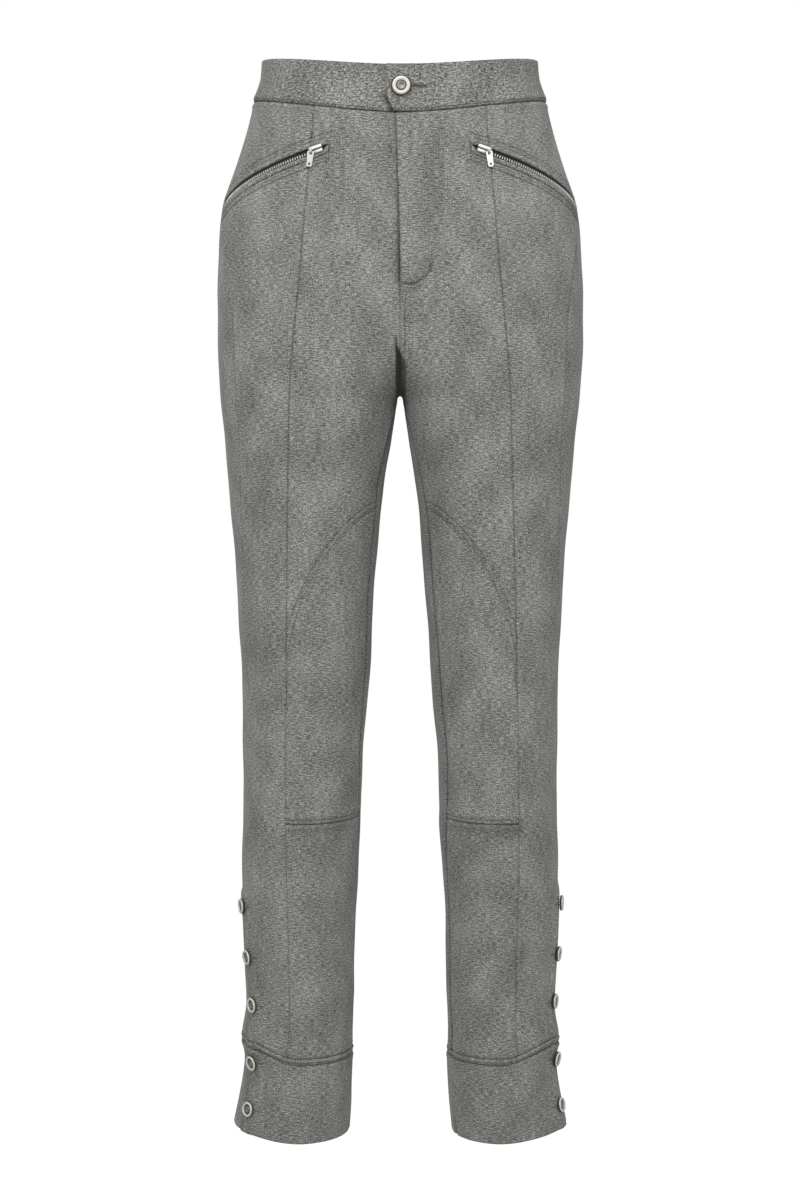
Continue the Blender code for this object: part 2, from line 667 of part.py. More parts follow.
def cuff(side, label):
    """One band round the ankle. Its front end laps over its back end and carries two of the buttons."""
    def columns(height):
        ring = FORM.ring(height)
        seam, side_line = FORM.long(height, side), FORM.side(height, side)
        start = inseam(height, side)
        return np.concatenate([
            back_columns(height, side, side_line + SEAM, ring + start) - ring,
            between(start, seam, SHIN_SHARES[1:]),
            between(seam, side_line - 2.0, SIDE_SHARES[1:]),
            [side_line + PLACKET_LAP],
        ])
    top = columns(-925.0)
    height = between(cuff_seam(top) - SEAM, hem_line(top), np.array([0.0, 0.25, 0.6, 1.0])[:, None])
    along = np.array([[columns(level)[i] for i, level in enumerate(row)] for row in height])
    raised = np.zeros_like(height)
    raised[:, -2:] = LAP
    cloth(f"cuff_{label}", along, height, side, raised=raised)


def waistband():
    """One band round the waist; the end on the wearer's left laps over the other at the front."""
    def half(side, start):
        seam, side_line = float(FORM.long(-30.0, side)), float(FORM.side(-30.0, side))
        ring = float(FORM.ring(-30.0))
        return np.concatenate([
            [start, 6.0],
            between(0.0, seam, FRONT_SHARES[2:]),
            between(seam, side_line, SIDE_SHARES[1:]),
            back_columns(-30.0, side, side_line, ring)[1:],
        ])

    left = half(1, -BAND_LAP)
    right = half(-1, BAND_UNDERLAP)
    shares = np.array([0.0, 0.35, 0.7, 1.0])[:, None]

    def points(along, side):
        foot, top = waist_seam(np.abs(along)) + SEAM, waist_edge(np.abs(along))
        height = between(foot, top, shares)
        scale = FORM.ring(height) / FORM.ring(-30.0)
        along = np.where(along < 20.0, along, along * scale)
        near_end = smoothstep((28.0 - along) / 26.0) * (side > 0)
        raised = BAND_RAISED + BAND_LAP_RAISED * near_end
        return cloth_points(along, height, side, raised=raised, thickness=BAND_CLOTH, keep_clear=False)

    left_outer, left_inner = points(left, 1)
    right_outer, right_inner = points(right[:-1][::-1], -1)
    outer = np.concatenate([left_outer, right_outer], axis=1)
    inner = np.concatenate([left_inner, right_inner], axis=1)
    wall("waistband", outer, inner)


# ---- hard pieces -----------------------------------------------------------------------------------------
def seat(along, height, side, raised):
    """A frame on the cloth: its origin, with Z out of the cloth and X level towards the side of the body."""
    point, out = FORM.place(np.array([along]), np.array([height]))
    point, out = point[0] + out[0] * raised, out[0]
    z = Vector(out * (side, 1.0, 1.0))
    up = Vector((0.0, 0.0, 1.0))
    y = (up - z * up.dot(z)).normalized()
    x = y.cross(z)
    frame = Matrix((x, y, z)).transposed().to_4x4()
    frame.translation = Vector(point * (side, 1.0, 1.0)) * MM
    return frame


def bulge(along, height, radius):
    """How far the cloth under a disc rises over the disc's own middle."""
    angle = np.linspace(0, 2 * math.pi, 24, endpoint=False)
    middle, out = FORM.place(np.array([along]), np.array([height]))
    round_it = FORM.place(along + radius * np.cos(angle), height + radius * np.sin(angle))[0]
    return max(0.0, float(((round_it - middle) @ out[0]).max()))


def prism(name, outline, low, high, frame, finish="steel"):
    """A flat outline in the XY plane of `frame`, which places the piece, extruded from low to high along Z."""
    work = bmesh.new()
    base = [work.verts.new((x * MM, y * MM, low * MM)) for x, y in outline]
    face = work.faces.new(base)
    raised = bmesh.ops.extrude_face_region(work, geom=[face])
    moved = [item for item in raised["geom"] if isinstance(item, bmesh.types.BMVert)]
    bmesh.ops.translate(work, verts=moved, vec=(0.0, 0.0, (high - low) * MM))
    bmesh.ops.recalc_face_normals(work, faces=work.faces)
    mesh = bpy.data.meshes.new(name)
    work.to_mesh(mesh)
    work.free()
    item = add_object(name, mesh, finish)
    item.matrix_world = frame
    return item


def combine(item, other, operation):
    """Cuts or joins another object, which stays in the scene as a hidden guide."""
    other.hide_render = True
    other.display_type = "WIRE"
    step = item.modifiers.new(operation.lower(), "BOOLEAN")
    step.operation = operation
    step.object = other


def turned_button(name, radius, thickness, frame):
    """A cup button: a rounded rim round a sunk middle, turned from a profile of (radius, height)."""
    rim = 0.22 * radius
    profile = [(0.80 * radius, 0.0), (radius, 0.35 * thickness), (0.98 * radius, 0.75 * thickness),
               (radius - 0.5 * rim, thickness), (radius - rim, 0.85 * thickness),
               (radius - 1.25 * rim, 0.5 * thickness)]
    turns = 18
    angle = np.linspace(0, 2 * math.pi, turns, endpoint=False)
    points = [(r * math.cos(a) * MM, r * math.sin(a) * MM, h * MM) for r, h in profile for a in angle]
    faces = [tuple(reversed(range(turns)))]
    for ring in range(len(profile) - 1):
        for i in range(turns):
            j = (i + 1) % turns
            low, high = ring * turns, (ring + 1) * turns
            faces.append((low + i, low + j, high + j, high + i))
    faces.append(tuple(range((len(profile) - 1) * turns, len(profile) * turns)))
    mesh = bpy.data.meshes.new(name)
    mesh.from_pydata(points, [], faces)
    item = add_object(name, mesh, "button")
    item.matrix_world = frame
    return item


# Slider: a block between the lip and the welt, a wider plate over it, and a hoop that holds the pull's bar.
SLIDER_LENGTH = 12.6
SLIDER_NECK = 4.4
SLIDER_PLATE = 7.6
SLIDER_SINK = 1.6
SLIDER_TOP = 1.7
SLIDER_AT = -6.0        # past the long seam
PIN_HEIGHT = 3.0        # of the pull's bar, over the cloth
HOOP_OUTER = 2.0
HOOP_HOLE = 1.0
HOOP_WIDTH = 1.6
PULL_LENGTH = 14.0
PULL_TOP = 6.4
PULL_FOOT = 5.2
PULL_THICK = 1.0
PULL_LEAN = math.radians(8.0)      # towards the cloth
PULL_SWAY = math.radians(9.0)      # towards the side of the body


def arc(centre, radius, start, end, count):
    angles = np.linspace(math.radians(start), math.radians(end), count)
    return [(centre[0] + radius * math.cos(a), centre[1] + radius * math.sin(a)) for a in angles]


def zip_frames(side):
    """Frames of the slider, turned along the zip, and of the pull's pin, turned to the way the pull hangs."""
    seam = float(FORM.long(-72.0, side))
    height = float(lip(SLIDER_AT)) - 3.3
    flat = seat(seam + SLIDER_AT, height, side, 0.0)
    slope = math.atan(0.30)
    slider = flat @ Matrix.Rotation(-side * slope, 4, "Z")
    offset = Vector((side * 3.6, -2.3, PIN_HEIGHT)) * MM
    pin = flat @ Matrix.Translation(offset) @ Matrix.Rotation(side * PULL_SWAY, 4, "Z")
    return slider, pin


def zip_slider(side, label):
    slider, pin = zip_frames(side)
    half, neck, plate = SLIDER_LENGTH / 2, SLIDER_NECK / 2, SLIDER_PLATE / 2
    profile = [(-neck, -SLIDER_SINK), (neck, -SLIDER_SINK), (neck, 0.4), (plate, 0.6), (plate - 0.5, SLIDER_TOP),
               (-plate + 0.5, SLIDER_TOP), (-plate, 0.6), (-neck, 0.4)]
    lengthways = slider @ Matrix(((0, 0, 1, 0), (1, 0, 0, 0), (0, 1, 0, 0), (0, 0, 0, 1)))
    body = prism(f"zip_slider_{label}", profile, -half, half, lengthways)
    foot = SLIDER_TOP - PIN_HEIGHT - 0.4
    arch = [(HOOP_OUTER, foot)] + arc((0, 0), HOOP_OUTER, 0, 180, 9) + [(-HOOP_OUTER, foot)]
    across = pin @ Matrix(((0, 0, 1, 0), (1, 0, 0, 0), (0, 1, 0, 0), (0, 0, 0, 1)))
    hoop = prism(f"hoop_guide_{label}", arch, -HOOP_WIDTH / 2, HOOP_WIDTH / 2, across)
    hole = prism(f"hoop_hole_guide_{label}", arc((0, 0), HOOP_HOLE, 22.5, 382.5, 9)[:-1], -3.0, 3.0, across)
    combine(hoop, hole, "DIFFERENCE")
    combine(body, hoop, "UNION")


def zip_pull(side, label):
    """The pull hangs from its bar, the pin of its hinge and its own origin; a hole is at its foot."""
    pin = zip_frames(side)[1] @ Matrix.Rotation(PULL_LEAN, 4, "X")
    top, foot = PULL_TOP / 2, PULL_FOOT / 2
    end = 0.5
    outline = [(-top + 0.4, end), (top - 0.4, end), (top, end - 0.4)]
    outline += arc((foot - 1.6, end - PULL_LENGTH + 1.6), 1.6, 0, -90, 4)
    outline += arc((1.6 - foot, end - PULL_LENGTH + 1.6), 1.6, -90, -180, 4)
    outline += [(-top, end - 0.4)]
    pull = prism(f"zip_pull_{label}", outline, -PULL_THICK / 2, PULL_THICK / 2, pin)
    slot_half, slot_top, slot_foot = 1.3, -0.5, -2.6
    slot = [(-slot_half, slot_top), (slot_half, slot_top), (slot_half, slot_foot), (-slot_half, slot_foot)]
    combine(pull, prism(f"slot_guide_{label}", slot, -2.0, 2.0, pin), "DIFFERENCE")
    hole = arc((0.0, 2.9 - PULL_LENGTH), 1.1, 0, 360, 13)[:-1]
    combine(pull, prism(f"hole_guide_{label}", hole, -2.0, 2.0, pin), "DIFFERENCE")


def leg_buttons(side, label):
    for number, height in enumerate(LEG_BUTTON_HEIGHTS, 1):
        along = float(FORM.side(height, side)) + 2.0
        raised = LAP + 2 * REST_GAP + bulge(along, height, LEG_BUTTON_RADIUS)
        frame = seat(along, height, side, raised)
        turned_button(f"leg_button_{label}_{number}", LEG_BUTTON_RADIUS, 3.4, frame)


def waist_button():
    raised = BAND_RAISED + BAND_LAP_RAISED + REST_GAP + bulge(1.1, WAIST_BUTTON_HEIGHT, WAIST_BUTTON_RADIUS)
    frame = seat(1.1, WAIST_BUTTON_HEIGHT, 1, raised)
    turned_button("waist_button", WAIST_BUTTON_RADIUS, 4.0, frame)


def build():
    clear_scene()
    for side, label in ((1, "left"), (-1, "right")):
        upper_front(side, label)
        hip_yoke(side, label)
        pocket(side, label)
        side_panel(side, label)
        knee_patch(side, label)
        shin(side, label)
        back(side, label)
        cuff(side, label)
        zip_slider(side, label)
        zip_pull(side, label)
        leg_buttons(side, label)
    waistband()
    waist_button()


build()
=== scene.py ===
# %% [markdown]
# # Knit trousers
#
# Full length trousers of a thick grey marl knit, with a fly front, curved hip pockets closed by short metal
# zips, shaped knee patches, and cuffs that button at the side. They keep the hollow form that they have on
# a wearer. The lesson builds each cut piece of cloth as one smooth wall, then adds what a maker adds last:
# stitching, zip teeth, sliders and buttons. Everything stands on one idea, a form that is a function of a
# height and of a length measured round the leg.

# %% Tools and the fixed frame
import math

import bpy
import numpy as np
from mathutils import Matrix, Vector
from mathutils.bvhtree import BVHTree


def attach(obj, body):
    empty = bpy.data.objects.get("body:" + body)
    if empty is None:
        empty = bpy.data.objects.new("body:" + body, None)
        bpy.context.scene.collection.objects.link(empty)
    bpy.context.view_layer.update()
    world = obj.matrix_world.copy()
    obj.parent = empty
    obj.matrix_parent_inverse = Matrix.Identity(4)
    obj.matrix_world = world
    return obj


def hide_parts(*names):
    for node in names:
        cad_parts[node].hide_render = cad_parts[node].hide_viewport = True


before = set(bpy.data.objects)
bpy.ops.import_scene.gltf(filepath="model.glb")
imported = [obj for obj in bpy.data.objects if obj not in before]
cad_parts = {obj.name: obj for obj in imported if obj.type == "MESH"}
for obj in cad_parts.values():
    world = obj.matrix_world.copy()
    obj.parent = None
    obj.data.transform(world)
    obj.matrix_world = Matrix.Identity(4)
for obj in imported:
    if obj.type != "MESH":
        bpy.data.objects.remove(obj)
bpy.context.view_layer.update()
MM = 0.001
print("cut pieces and fittings in the frame:", len(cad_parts))

# %% [markdown]
# ## The form
#
# A tailor measures a leg by its girths. Here each row of a table is one girth: a level section, rounded like
# a swollen ellipse. Between the rows the numbers run along a smooth curve that never overshoots, so a few
# rows are enough for the whole leg. Tables and sizes are millimetres.

# %% Sizes of the garment
SIDES = ((1, "left"), (-1, "right"))
# Thickness of the knit and of the doubled waistband, half the gap at a seam, and how far a lap stands out.
CLOTH = 1.6
BAND_CLOTH = 3.0
SEAM = 0.2
LAP = 2.0
# Heights from the waist, at 0, lengths along the cloth, and how far the waistband stands out.
FORK = -297.0
FRONT_FORK_RISE = 62.0
BACK_FORK_RISE = 120.0
ARCH = (3.2, 6.0)
ARCH_FADES = (-320.0, -480.0)
FLY_BOTTOM = -190.0
FLY_LAP = 4.5
BAND_LAP = 12.0
BAND_UNDERLAP = 2.0
KNEE = -695.0
PATCH_IN = -402.0
PATCH_DROP = 178.0
PLACKET_TOP = -758.0
PLACKET_LAP = 12.0
BAND_RAISED = 0.8
BAND_LAP_RAISED = 3.6
WAIST_BUTTON_HEIGHT = -15.5
WAIST_BUTTON_RADIUS = 9.3
LEG_BUTTON_RADIUS = 7.5
LEG_BUTTON_PAST = 2.0
LEG_BUTTON_HEIGHTS = (-782.0, -830.0, -876.0, -932.0, -978.0)
# Levels at which lengths round the waistband, yoke, pocket, hips, cuff and hem are read.
BAND_LEVEL = -30.0
YOKE_LEVEL = -34.0
POCKET_LEVEL = -110.0
HIP_LEVEL = -207.0
CUFF_LEVEL = -925.0
HEM_LEVEL = -1000.0
# How far from the middle plane the upright lines of the knit's map run.
FRONT_MARK = 45.0
BACK_MARK = 85.0

SECTION_COLUMNS = "height outer inner middle front back power side_seam inseam long_seam".split()
SECTIONS = np.array([
    (30, 128.5, 0.0, 0.0, -91, 89, 2.10, 0, 0, 77.0),
    (0, 129.5, 0.0, 0.0, -93, 92, 2.10, 0, 0, 77.0),
    (-20, 135.8, 0.0, 4.0, -94, 94, 2.10, 0, 0, 77.5),
    (-35, 139.0, 0.0, 8.0, -95, 95, 2.12, 0, 0, 78.2),
    (-66, 148.1, 0.0, 14.0, -98, 99, 2.16, 0, 0, 81.3),
    (-85, 154.5, 0.0, 18.0, -99, 103, 2.18, -3, 0, 83.0),
    (-122, 167.0, 0.0, 26.0, -102, 112, 2.22, -17, 0, 86.3),
    (-169, 171.2, 0.0, 38.0, -104, 119, 2.26, -42, 0, 90.2),
    (-207, 173.0, 0.0, 50.0, -104, 120, 2.30, -56, 0, 93.9),
    (-244, 172.4, 0.0, 66.0, -102, 114, 2.34, -65, 0, 97.6),
    (-297, 169.6, 0.0, 85.0, -98, 103, 2.40, -68, 0, 101.2),
    (-302, 169.2, 0.3, 86.0, -98, 102, 2.40, -68, 14, 101.4),
    (-310, 168.6, 1.2, 86.5, -97, 101, 2.40, -68, 26, 101.6),
    (-339, 165.8, 5.5, 87.2, -95, 97, 2.36, -66, 42, 102.4),
    (-377, 162.5, 11.9, 88.4, -92, 92, 2.32, -61, 45, 103.3),
    (-415, 159.6, 17.6, 89.2, -89, 86, 2.28, -55, 44, 104.4),
    (-492, 154.0, 25.2, 89.6, -84, 76, 2.20, -40, 39, 106.2),
    (-569, 150.6, 29.6, 90.1, -79, 67, 2.14, -20, 37, 107.8),
    (-646, 150.1, 36.2, 93.2, -77, 60, 2.10, -8, 32, 109.0),
    (-700, 150.8, 37.4, 94.1, -76, 58, 2.10, -8, 27, 109.4),
    (-724, 151.3, 38.8, 95.0, -73, 59, 2.10, -9, 22, 109.2),
    (-802, 151.9, 43.5, 97.7, -63, 66, 2.10, -26, 14, 108.2),
    (-881, 148.6, 45.6, 97.1, -58, 66, 2.10, -31, 14, 107.2),
    (-917, 153.6, 46.6, 100.1, -57, 64, 2.10, -31, 14, 109.0),
    (-935, 150.8, 45.9, 98.3, -55, 62, 2.10, -31, 14, 109.2),
    (-1010, 163.2, 50.0, 106.5, -55, 66, 2.10, -33, 14, 114.0),
])
TURN_COLUMNS = "above below long_seam side_seam inseam".split()
TURN = dict(zip(TURN_COLUMNS, (-260.0, -760.0, 2.4, 7.0, 9.0)))
WAIST_SEAM = dict(front=-38.4, side=-23.0, back=-21.0)
WAIST_EDGE = dict(front=4.2, side=15.5, back=17.0)
WAIST_REACH = 134.0
print("girths in the table:", len(SECTIONS))

# %% [markdown]
# The next cell reads the table at any height. A cubic between two rows with tangents taken as a weighted
# harmonic mean of the slopes beside them rises where the rows rise and falls where they fall.

# %% Reading the table
def smoothstep(value):
    """Rises from 0 to 1 as the value does, level at both ends: t squared times (3 - 2t)."""
    t = np.clip(value, 0.0, 1.0)
    return t * t * (3.0 - 2.0 * t)


def column(name, height):
    """A column of SECTIONS at any height: a cubic between two rows, level where the slopes change sign."""
    table = SECTIONS[::-1]
    heights = table[:, 0]
    values = table[:, SECTION_COLUMNS.index(name)]
    height = np.clip(np.asarray(height, float), heights[0], heights[-1])
    step = np.diff(heights)
    slope = np.diff(values) / step
    left, right = slope[:-1], slope[1:]
    same = left * right > 0
    weight_a = 2.0 * step[1:] + step[:-1]
    weight_b = step[1:] + 2.0 * step[:-1]
    mean = (weight_a + weight_b) / (weight_a / np.where(same, left, 1) + weight_b / np.where(same, right, 1))
    tangent = np.concatenate([slope[:1], np.where(same, mean, 0.0), slope[-1:]])
    i = np.clip(np.searchsorted(heights, height, side="right") - 1, 0, len(step) - 1)
    t = (height - heights[i]) / step[i]
    return (
        (1 + 2 * t) * (1 - t) ** 2 * values[i]
        + t * (1 - t) ** 2 * step[i] * tangent[i]
        + t * t * (3 - 2 * t) * values[i + 1]
        + t * t * (t - 1) * step[i] * tangent[i + 1]
    )


def turned(height):
    """How far the legs are turned under the body: 0 at the hips, rising to 1 below the knee."""
    return smoothstep((TURN["above"] - height) / (TURN["above"] - TURN["below"]))


print("half the width at the hips: %.1f mm" % column("outer", HIP_LEVEL))

# %% [markdown]
# ### One section
#
# A section is four quarters of a swollen ellipse: reach times cos^(2/power) across, depth times
# sin^(2/power) deep. Above the fork the two legs are joined, so the inner quarters are cut by the middle
# plane. Their reach grows so that they meet that plane on the curve of the crotch seam.

# %% Sections
def arch(height):
    """How far the round top of the gap keeps the legs apart: a quarter ellipse that fades further down."""
    if height >= FORK:
        return 0.0
    share = min((FORK - height) / ARCH[1], 1.0)
    fade = smoothstep((ARCH_FADES[0] - height) / (ARCH_FADES[0] - ARCH_FADES[1]))
    return ARCH[0] * math.sqrt(1 - (1 - share) ** 2) * (1 - float(fade))


def outline(height):
    """One section's middle, axis, power, inner edge and arch, and the reach and depth of its quarters."""
    outer, middle, front, back, power = (
        float(column(name, height)) for name in ("outer", "middle", "front", "back", "power")
    )
    axis = 0.25 * (front + back)
    inner = float(column("inner", height)) if height < FORK else 0.0
    reach = {}
    for place, rise_over in (("front", FRONT_FORK_RISE), ("back", BACK_FORK_RISE)):
        if height < FORK:
            reach[place] = middle - inner
            continue
        rise = math.sqrt(1 - (1 - min((height - FORK) / rise_over, 1.0)) ** 2)
        reach[place] = math.inf if rise > 0.9995 else middle / (1 - rise ** power) ** (1 / power)
    return dict(middle=middle, axis=axis, power=power, inner=inner, arch=arch(height), outer=outer - middle,
                inner_front=reach["front"], inner_back=reach["back"], front=axis - front, back=back - axis)


def spread(form, x):
    """Adds the arch near the inner leg only: arch * (1 - share of the way to the middle)^6."""
    if form["arch"] == 0:
        return x
    share = np.clip((x - form["inner"]) / (form["middle"] - form["inner"]), 0, 1)
    return x + form["arch"] * (1 - share) ** 6


def unspread(form, x):
    """Undoes spread by repeating it until the result stands still."""
    found = x
    for _ in range(24 if form["arch"] > 0 else 0):
        found = x - (spread(form, found) - found)
    return found


def section(height, count=97):
    """Points of one section, from the front inner quarter round the side to the back inner quarter."""
    form = outline(height)
    middle, axis, power = form["middle"], form["axis"], form["power"]

    def quarter(reach, depth, start, end):
        """One quarter of the swollen ellipse, between two angles."""
        angle = np.linspace(start, end, count)
        across = np.clip(np.cos(angle), 0, 1) ** (2 / power)
        deep = np.clip(np.sin(angle), 0, 1) ** (2 / power)
        return middle + reach * across, axis + depth * deep

    def inner_quarter(reach, depth):
        """An inner quarter, from the middle plane or the inner edge to the leg's own middle."""
        if math.isinf(reach):
            return np.linspace(0.0, middle, count), np.full(count, axis + depth)
        start = 0.0 if height < FORK else math.acos((middle / reach) ** (power / 2))
        return quarter(-reach, depth, start, math.pi / 2)

    parts = [
        inner_quarter(form["inner_front"], -form["front"]),
        quarter(form["outer"], -form["front"], math.pi / 2, 0.0),
        quarter(form["outer"], form["back"], 0.0, math.pi / 2),
        [run[::-1] for run in inner_quarter(form["inner_back"], form["back"])],
    ]
    x = np.concatenate([part[0][min(i, 1):] for i, part in enumerate(parts)])
    y = np.concatenate([part[1][min(i, 1):] for i, part in enumerate(parts)])
    return spread(form, x), y


print("points round half a section at the hips:", len(section(HIP_LEVEL)[0]))

# %% [markdown]
# ### Which way is out
#
# A wall needs a direction to get its thickness in. The section's formula has a value that is 1 on the cloth
# and more outside it, here called fullness. The direction in which it grows fastest is straight out.

# %% Outward directions
def unit(direction):
    """The same directions, each of length 1."""
    return direction / np.linalg.norm(direction, axis=-1, keepdims=True)


def quarter_at(form, x, y):
    """Reach and depth of the quarter that each point lies in."""
    front = y < form["axis"]
    inner = np.where(front, form["inner_front"], form["inner_back"])
    return np.where(x < form["middle"], inner, form["outer"]), np.where(front, form["front"], form["back"])


def fullness(height, x, y):
    """(x over reach)^power + (y over depth)^power: 1 on the form, more outside it."""
    form = outline(height)
    x = unspread(form, x)
    reach, depth = quarter_at(form, x, y)
    across, deep = np.abs(x - form["middle"]) / reach, np.abs(y - form["axis"]) / depth
    return across ** form["power"] + deep ** form["power"]


def outward(height, x, y):
    """Unit normals at points of one section: the gradient of fullness across, deep and in height."""
    form = outline(height)
    power = form["power"]
    low, high = height - 0.4, height + 0.4
    if low < FORK <= height:
        low = height
    if height < FORK <= high:
        high = height
    rise = (fullness(high, x, y) - fullness(low, x, y)) / (high - low)
    x = unspread(form, x)
    reach, depth = quarter_at(form, x, y)
    across, deep = (x - form["middle"]) / reach, (y - form["axis"]) / depth
    normal = np.stack([
        power / reach * np.abs(across) ** (power - 1) * np.sign(across),
        power / depth * np.abs(deep) ** (power - 1) * np.sign(deep),
        rise,
    ], axis=-1)
    return unit(normal)


print("fullness on the cloth at the hips: %.3f" % fullness(HIP_LEVEL, *section(HIP_LEVEL)).mean())

# %% [markdown]
# ### A lattice to read from
#
# Working a section out takes time, so it is done once for some 400 heights and each is divided into equal
# lengths. Any point of the garment is then read between four lattice points. The lattice also knows where
# the long front seam and the side seam run.

# %% The form as a lattice
class Form:
    """The form on a lattice of sections; place(along, height) gives points and outward directions."""

    DIVISIONS = 240

    def __init__(self):
        rise = FORK + BACK_FORK_RISE * (1 - np.cos(np.linspace(0, math.pi / 2, 60)))
        sill = FORK - 4.0 * (1 - np.cos(np.linspace(0, math.pi / 2, 16)))
        plain = np.arange(-1012.0, 31.0, 3.0)
        self.heights = np.unique(np.round(np.concatenate([plain, rise, sill]), 3))
        rows = [self.read_row(height) for height in self.heights]
        self.x = np.array([row[0] for row in rows])
        self.y = np.array([row[1] for row in rows])
        self.length = np.array([row[2] for row in rows])
        self.long_seam = {side: np.array([row[3][side] for row in rows]) for side in (1, -1)}
        self.side_seam = {side: np.array([row[4][side] for row in rows]) for side in (1, -1)}
        self.front_mark = np.array([row[5] for row in rows])
        self.back_mark = np.array([row[6] for row in rows])
        self.normal = np.array([outward(h, x, y) for h, x, y in zip(self.heights, self.x, self.y)])

    def read_row(self, height):
        """One section divided into equal lengths, with the places of its seams along it."""
        x, y = section(height)
        run = np.concatenate([[0.0], np.cumsum(np.hypot(np.diff(x), np.diff(y)))])
        along = np.linspace(0.0, run[-1], self.DIVISIONS + 1)
        widest, nearest, farthest = int(np.argmax(x)), int(np.argmin(y)), int(np.argmax(y))
        turn = float(turned(height))
        long_seam, side_seam = {}, {}
        for side in (1, -1):
            wanted = float(column("long_seam", height)) + side * turn * TURN["long_seam"]
            long_seam[side] = float(np.interp(wanted, x[:widest + 1], run[:widest + 1]))
            depth = float(column("side_seam", height)) + side * turn * TURN["side_seam"]
            side_seam[side] = float(np.interp(depth, y[nearest:farthest + 1], run[nearest:farthest + 1]))
        front_mark = float(np.interp(FRONT_MARK, x[:widest + 1], run[:widest + 1]))
        back_mark = float(np.interp(BACK_MARK, x[widest:][::-1], run[widest:][::-1]))
        points = np.interp(along, run, x), np.interp(along, run, y)
        return *points, run[-1], long_seam, side_seam, front_mark, back_mark

    def place(self, along, height):
        """Points and outward directions on the wearer's left, each a mean of four lattice points."""
        along, height = np.broadcast_arrays(np.asarray(along, float), np.asarray(height, float))
        k = np.clip(np.searchsorted(self.heights, height, side="right") - 1, 0, len(self.heights) - 2)
        w = (height - self.heights[k]) / (self.heights[k + 1] - self.heights[k])
        share = along / (self.length[k] * (1 - w) + self.length[k + 1] * w)
        joined = height >= FORK
        flip = np.where(joined & ((share < 0) | (share > 1)), -1.0, 1.0)
        share = np.where(joined, np.abs(share), share % 1.0)
        share = np.where(share > 1, 2 - share, share)
        j = np.clip(np.floor(share * self.DIVISIONS).astype(int), 0, self.DIVISIONS - 1)
        t = share * self.DIVISIONS - j

        def read(lattice):
            """The mean of the four lattice values round each place, by how near each is."""
            near = lattice[k, j] * (1 - t) + lattice[k, j + 1] * t
            far = lattice[k + 1, j] * (1 - t) + lattice[k + 1, j + 1] * t
            return near * (1 - w) + far * w

        point = np.stack([flip * read(self.x), read(self.y), height], axis=-1)
        out = np.stack([read(self.normal[..., axis]) for axis in range(3)], axis=-1)
        out[..., 0] *= flip
        return point, unit(out)

    def ring(self, height):
        """Length round a leg or, above the fork, from the middle of the front to that of the back."""
        return np.interp(height, self.heights, self.length)

    def long(self, height, side):
        """Where the long front seam lies along the ring."""
        return np.interp(height, self.heights, self.long_seam[side])

    def side(self, height, side):
        """Where the side seam lies along the ring."""
        return np.interp(height, self.heights, self.side_seam[side])

    def front(self, height):
        """Where the front's upright line of the knit lies along the ring."""
        return np.interp(height, self.heights, self.front_mark)

    def back(self, height):
        """Where the back's upright line of the knit lies along the ring."""
        return np.interp(height, self.heights, self.back_mark)


FORM = Form()
girths = 2 * FORM.ring(0.0), 2 * FORM.ring(HIP_LEVEL), FORM.ring(HEM_LEVEL)
print("waist %.0f mm, hips %.0f mm, hem %.0f mm round" % girths)

# %% [markdown]
# ### Seam lines
#
# Every seam is a line on the form, so two pieces that meet there can never drift apart. Each function
# gives one line: the inseam, the waistband's seam and edge, the top of the knee patch, the cuff's seam,
# the hem and the fly's edge.

# %% Seam lines
def inseam(height, side):
    """Where the inseam lies along the ring; 0 above the fork."""
    return np.where(height >= FORK, 0.0, column("inseam", height) + side * turned(height) * TURN["inseam"])


def waist_line(line, along, height):
    """A line round the waist, from front or back to side by the distance to the power of 1.5."""
    point = FORM.place(along, height)[0]
    share = np.clip(np.abs(point[..., 0]) / WAIST_REACH, 0, 1) ** 1.5
    end = np.where(point[..., 1] < 0, line["front"], line["back"])
    return end + (line["side"] - end) * share


def waist_seam(along):
    """The seam under the waistband."""
    return waist_line(WAIST_SEAM, along, BAND_LEVEL)


def waist_edge(along):
    """The waistband's upper edge."""
    return waist_line(WAIST_EDGE, along, 5.0)


def patch_seam(share):
    """Top of the knee patch, by the share of the way from the inseam to the long seam: an ellipse's fall."""
    return PATCH_IN - PATCH_DROP * (1 - (1 - np.clip(share, 0, 1) ** 2) ** (1 / 1.8))


def cuff_seam(along):
    """The seam above the cuff, which climbs towards the outside."""
    x = FORM.place(along, CUFF_LEVEL)[0][..., 0]
    return -931.0 + 14.0 * smoothstep((x - 95.0) / 55.0)


def hem_line(along):
    """The cuff's lower edge."""
    x = FORM.place(along, HEM_LEVEL)[0][..., 0]
    return -1008.0 + 8.0 * smoothstep((x - 90.0) / 75.0)


def fly_edge(height):
    """The fly's lapping edge: it draws back to the middle towards its foot."""
    share = np.clip((WAIST_SEAM["front"] - height) / (WAIST_SEAM["front"] - FLY_BOTTOM), 0, 1)
    return SEAM - (FLY_LAP + SEAM) * (1 - share) ** 1.5


print("cuff at the inseam: %.0f mm deep" % (cuff_seam(0.0) - hem_line(0.0)))

# %% [markdown]
# ### The pocket's lines
#
# The pocket is a slanting slit that starts a little before the long seam and ends at the side seam. Its
# upper edge is the lip. Below the slit lies a narrow welt, which ends in the seam here called the pocket's
# foot.

# %% The pocket's lines
POCKET_END = -18.0


def lip(past_seam):
    """Upper edge of the pocket, by the length past the long front seam: a falling parabola."""
    return -70.5 - 0.30 * past_seam - 0.00066 * past_seam ** 2


def pocket_foot(past_seam):
    """Seam below the pocket's welt: 11 mm under the lip, more towards the side."""
    depth = 11.0 + np.where(past_seam < 0, 0.08 * past_seam, 4.0 * (past_seam / 120.0) ** 2)
    return lip(past_seam) - depth


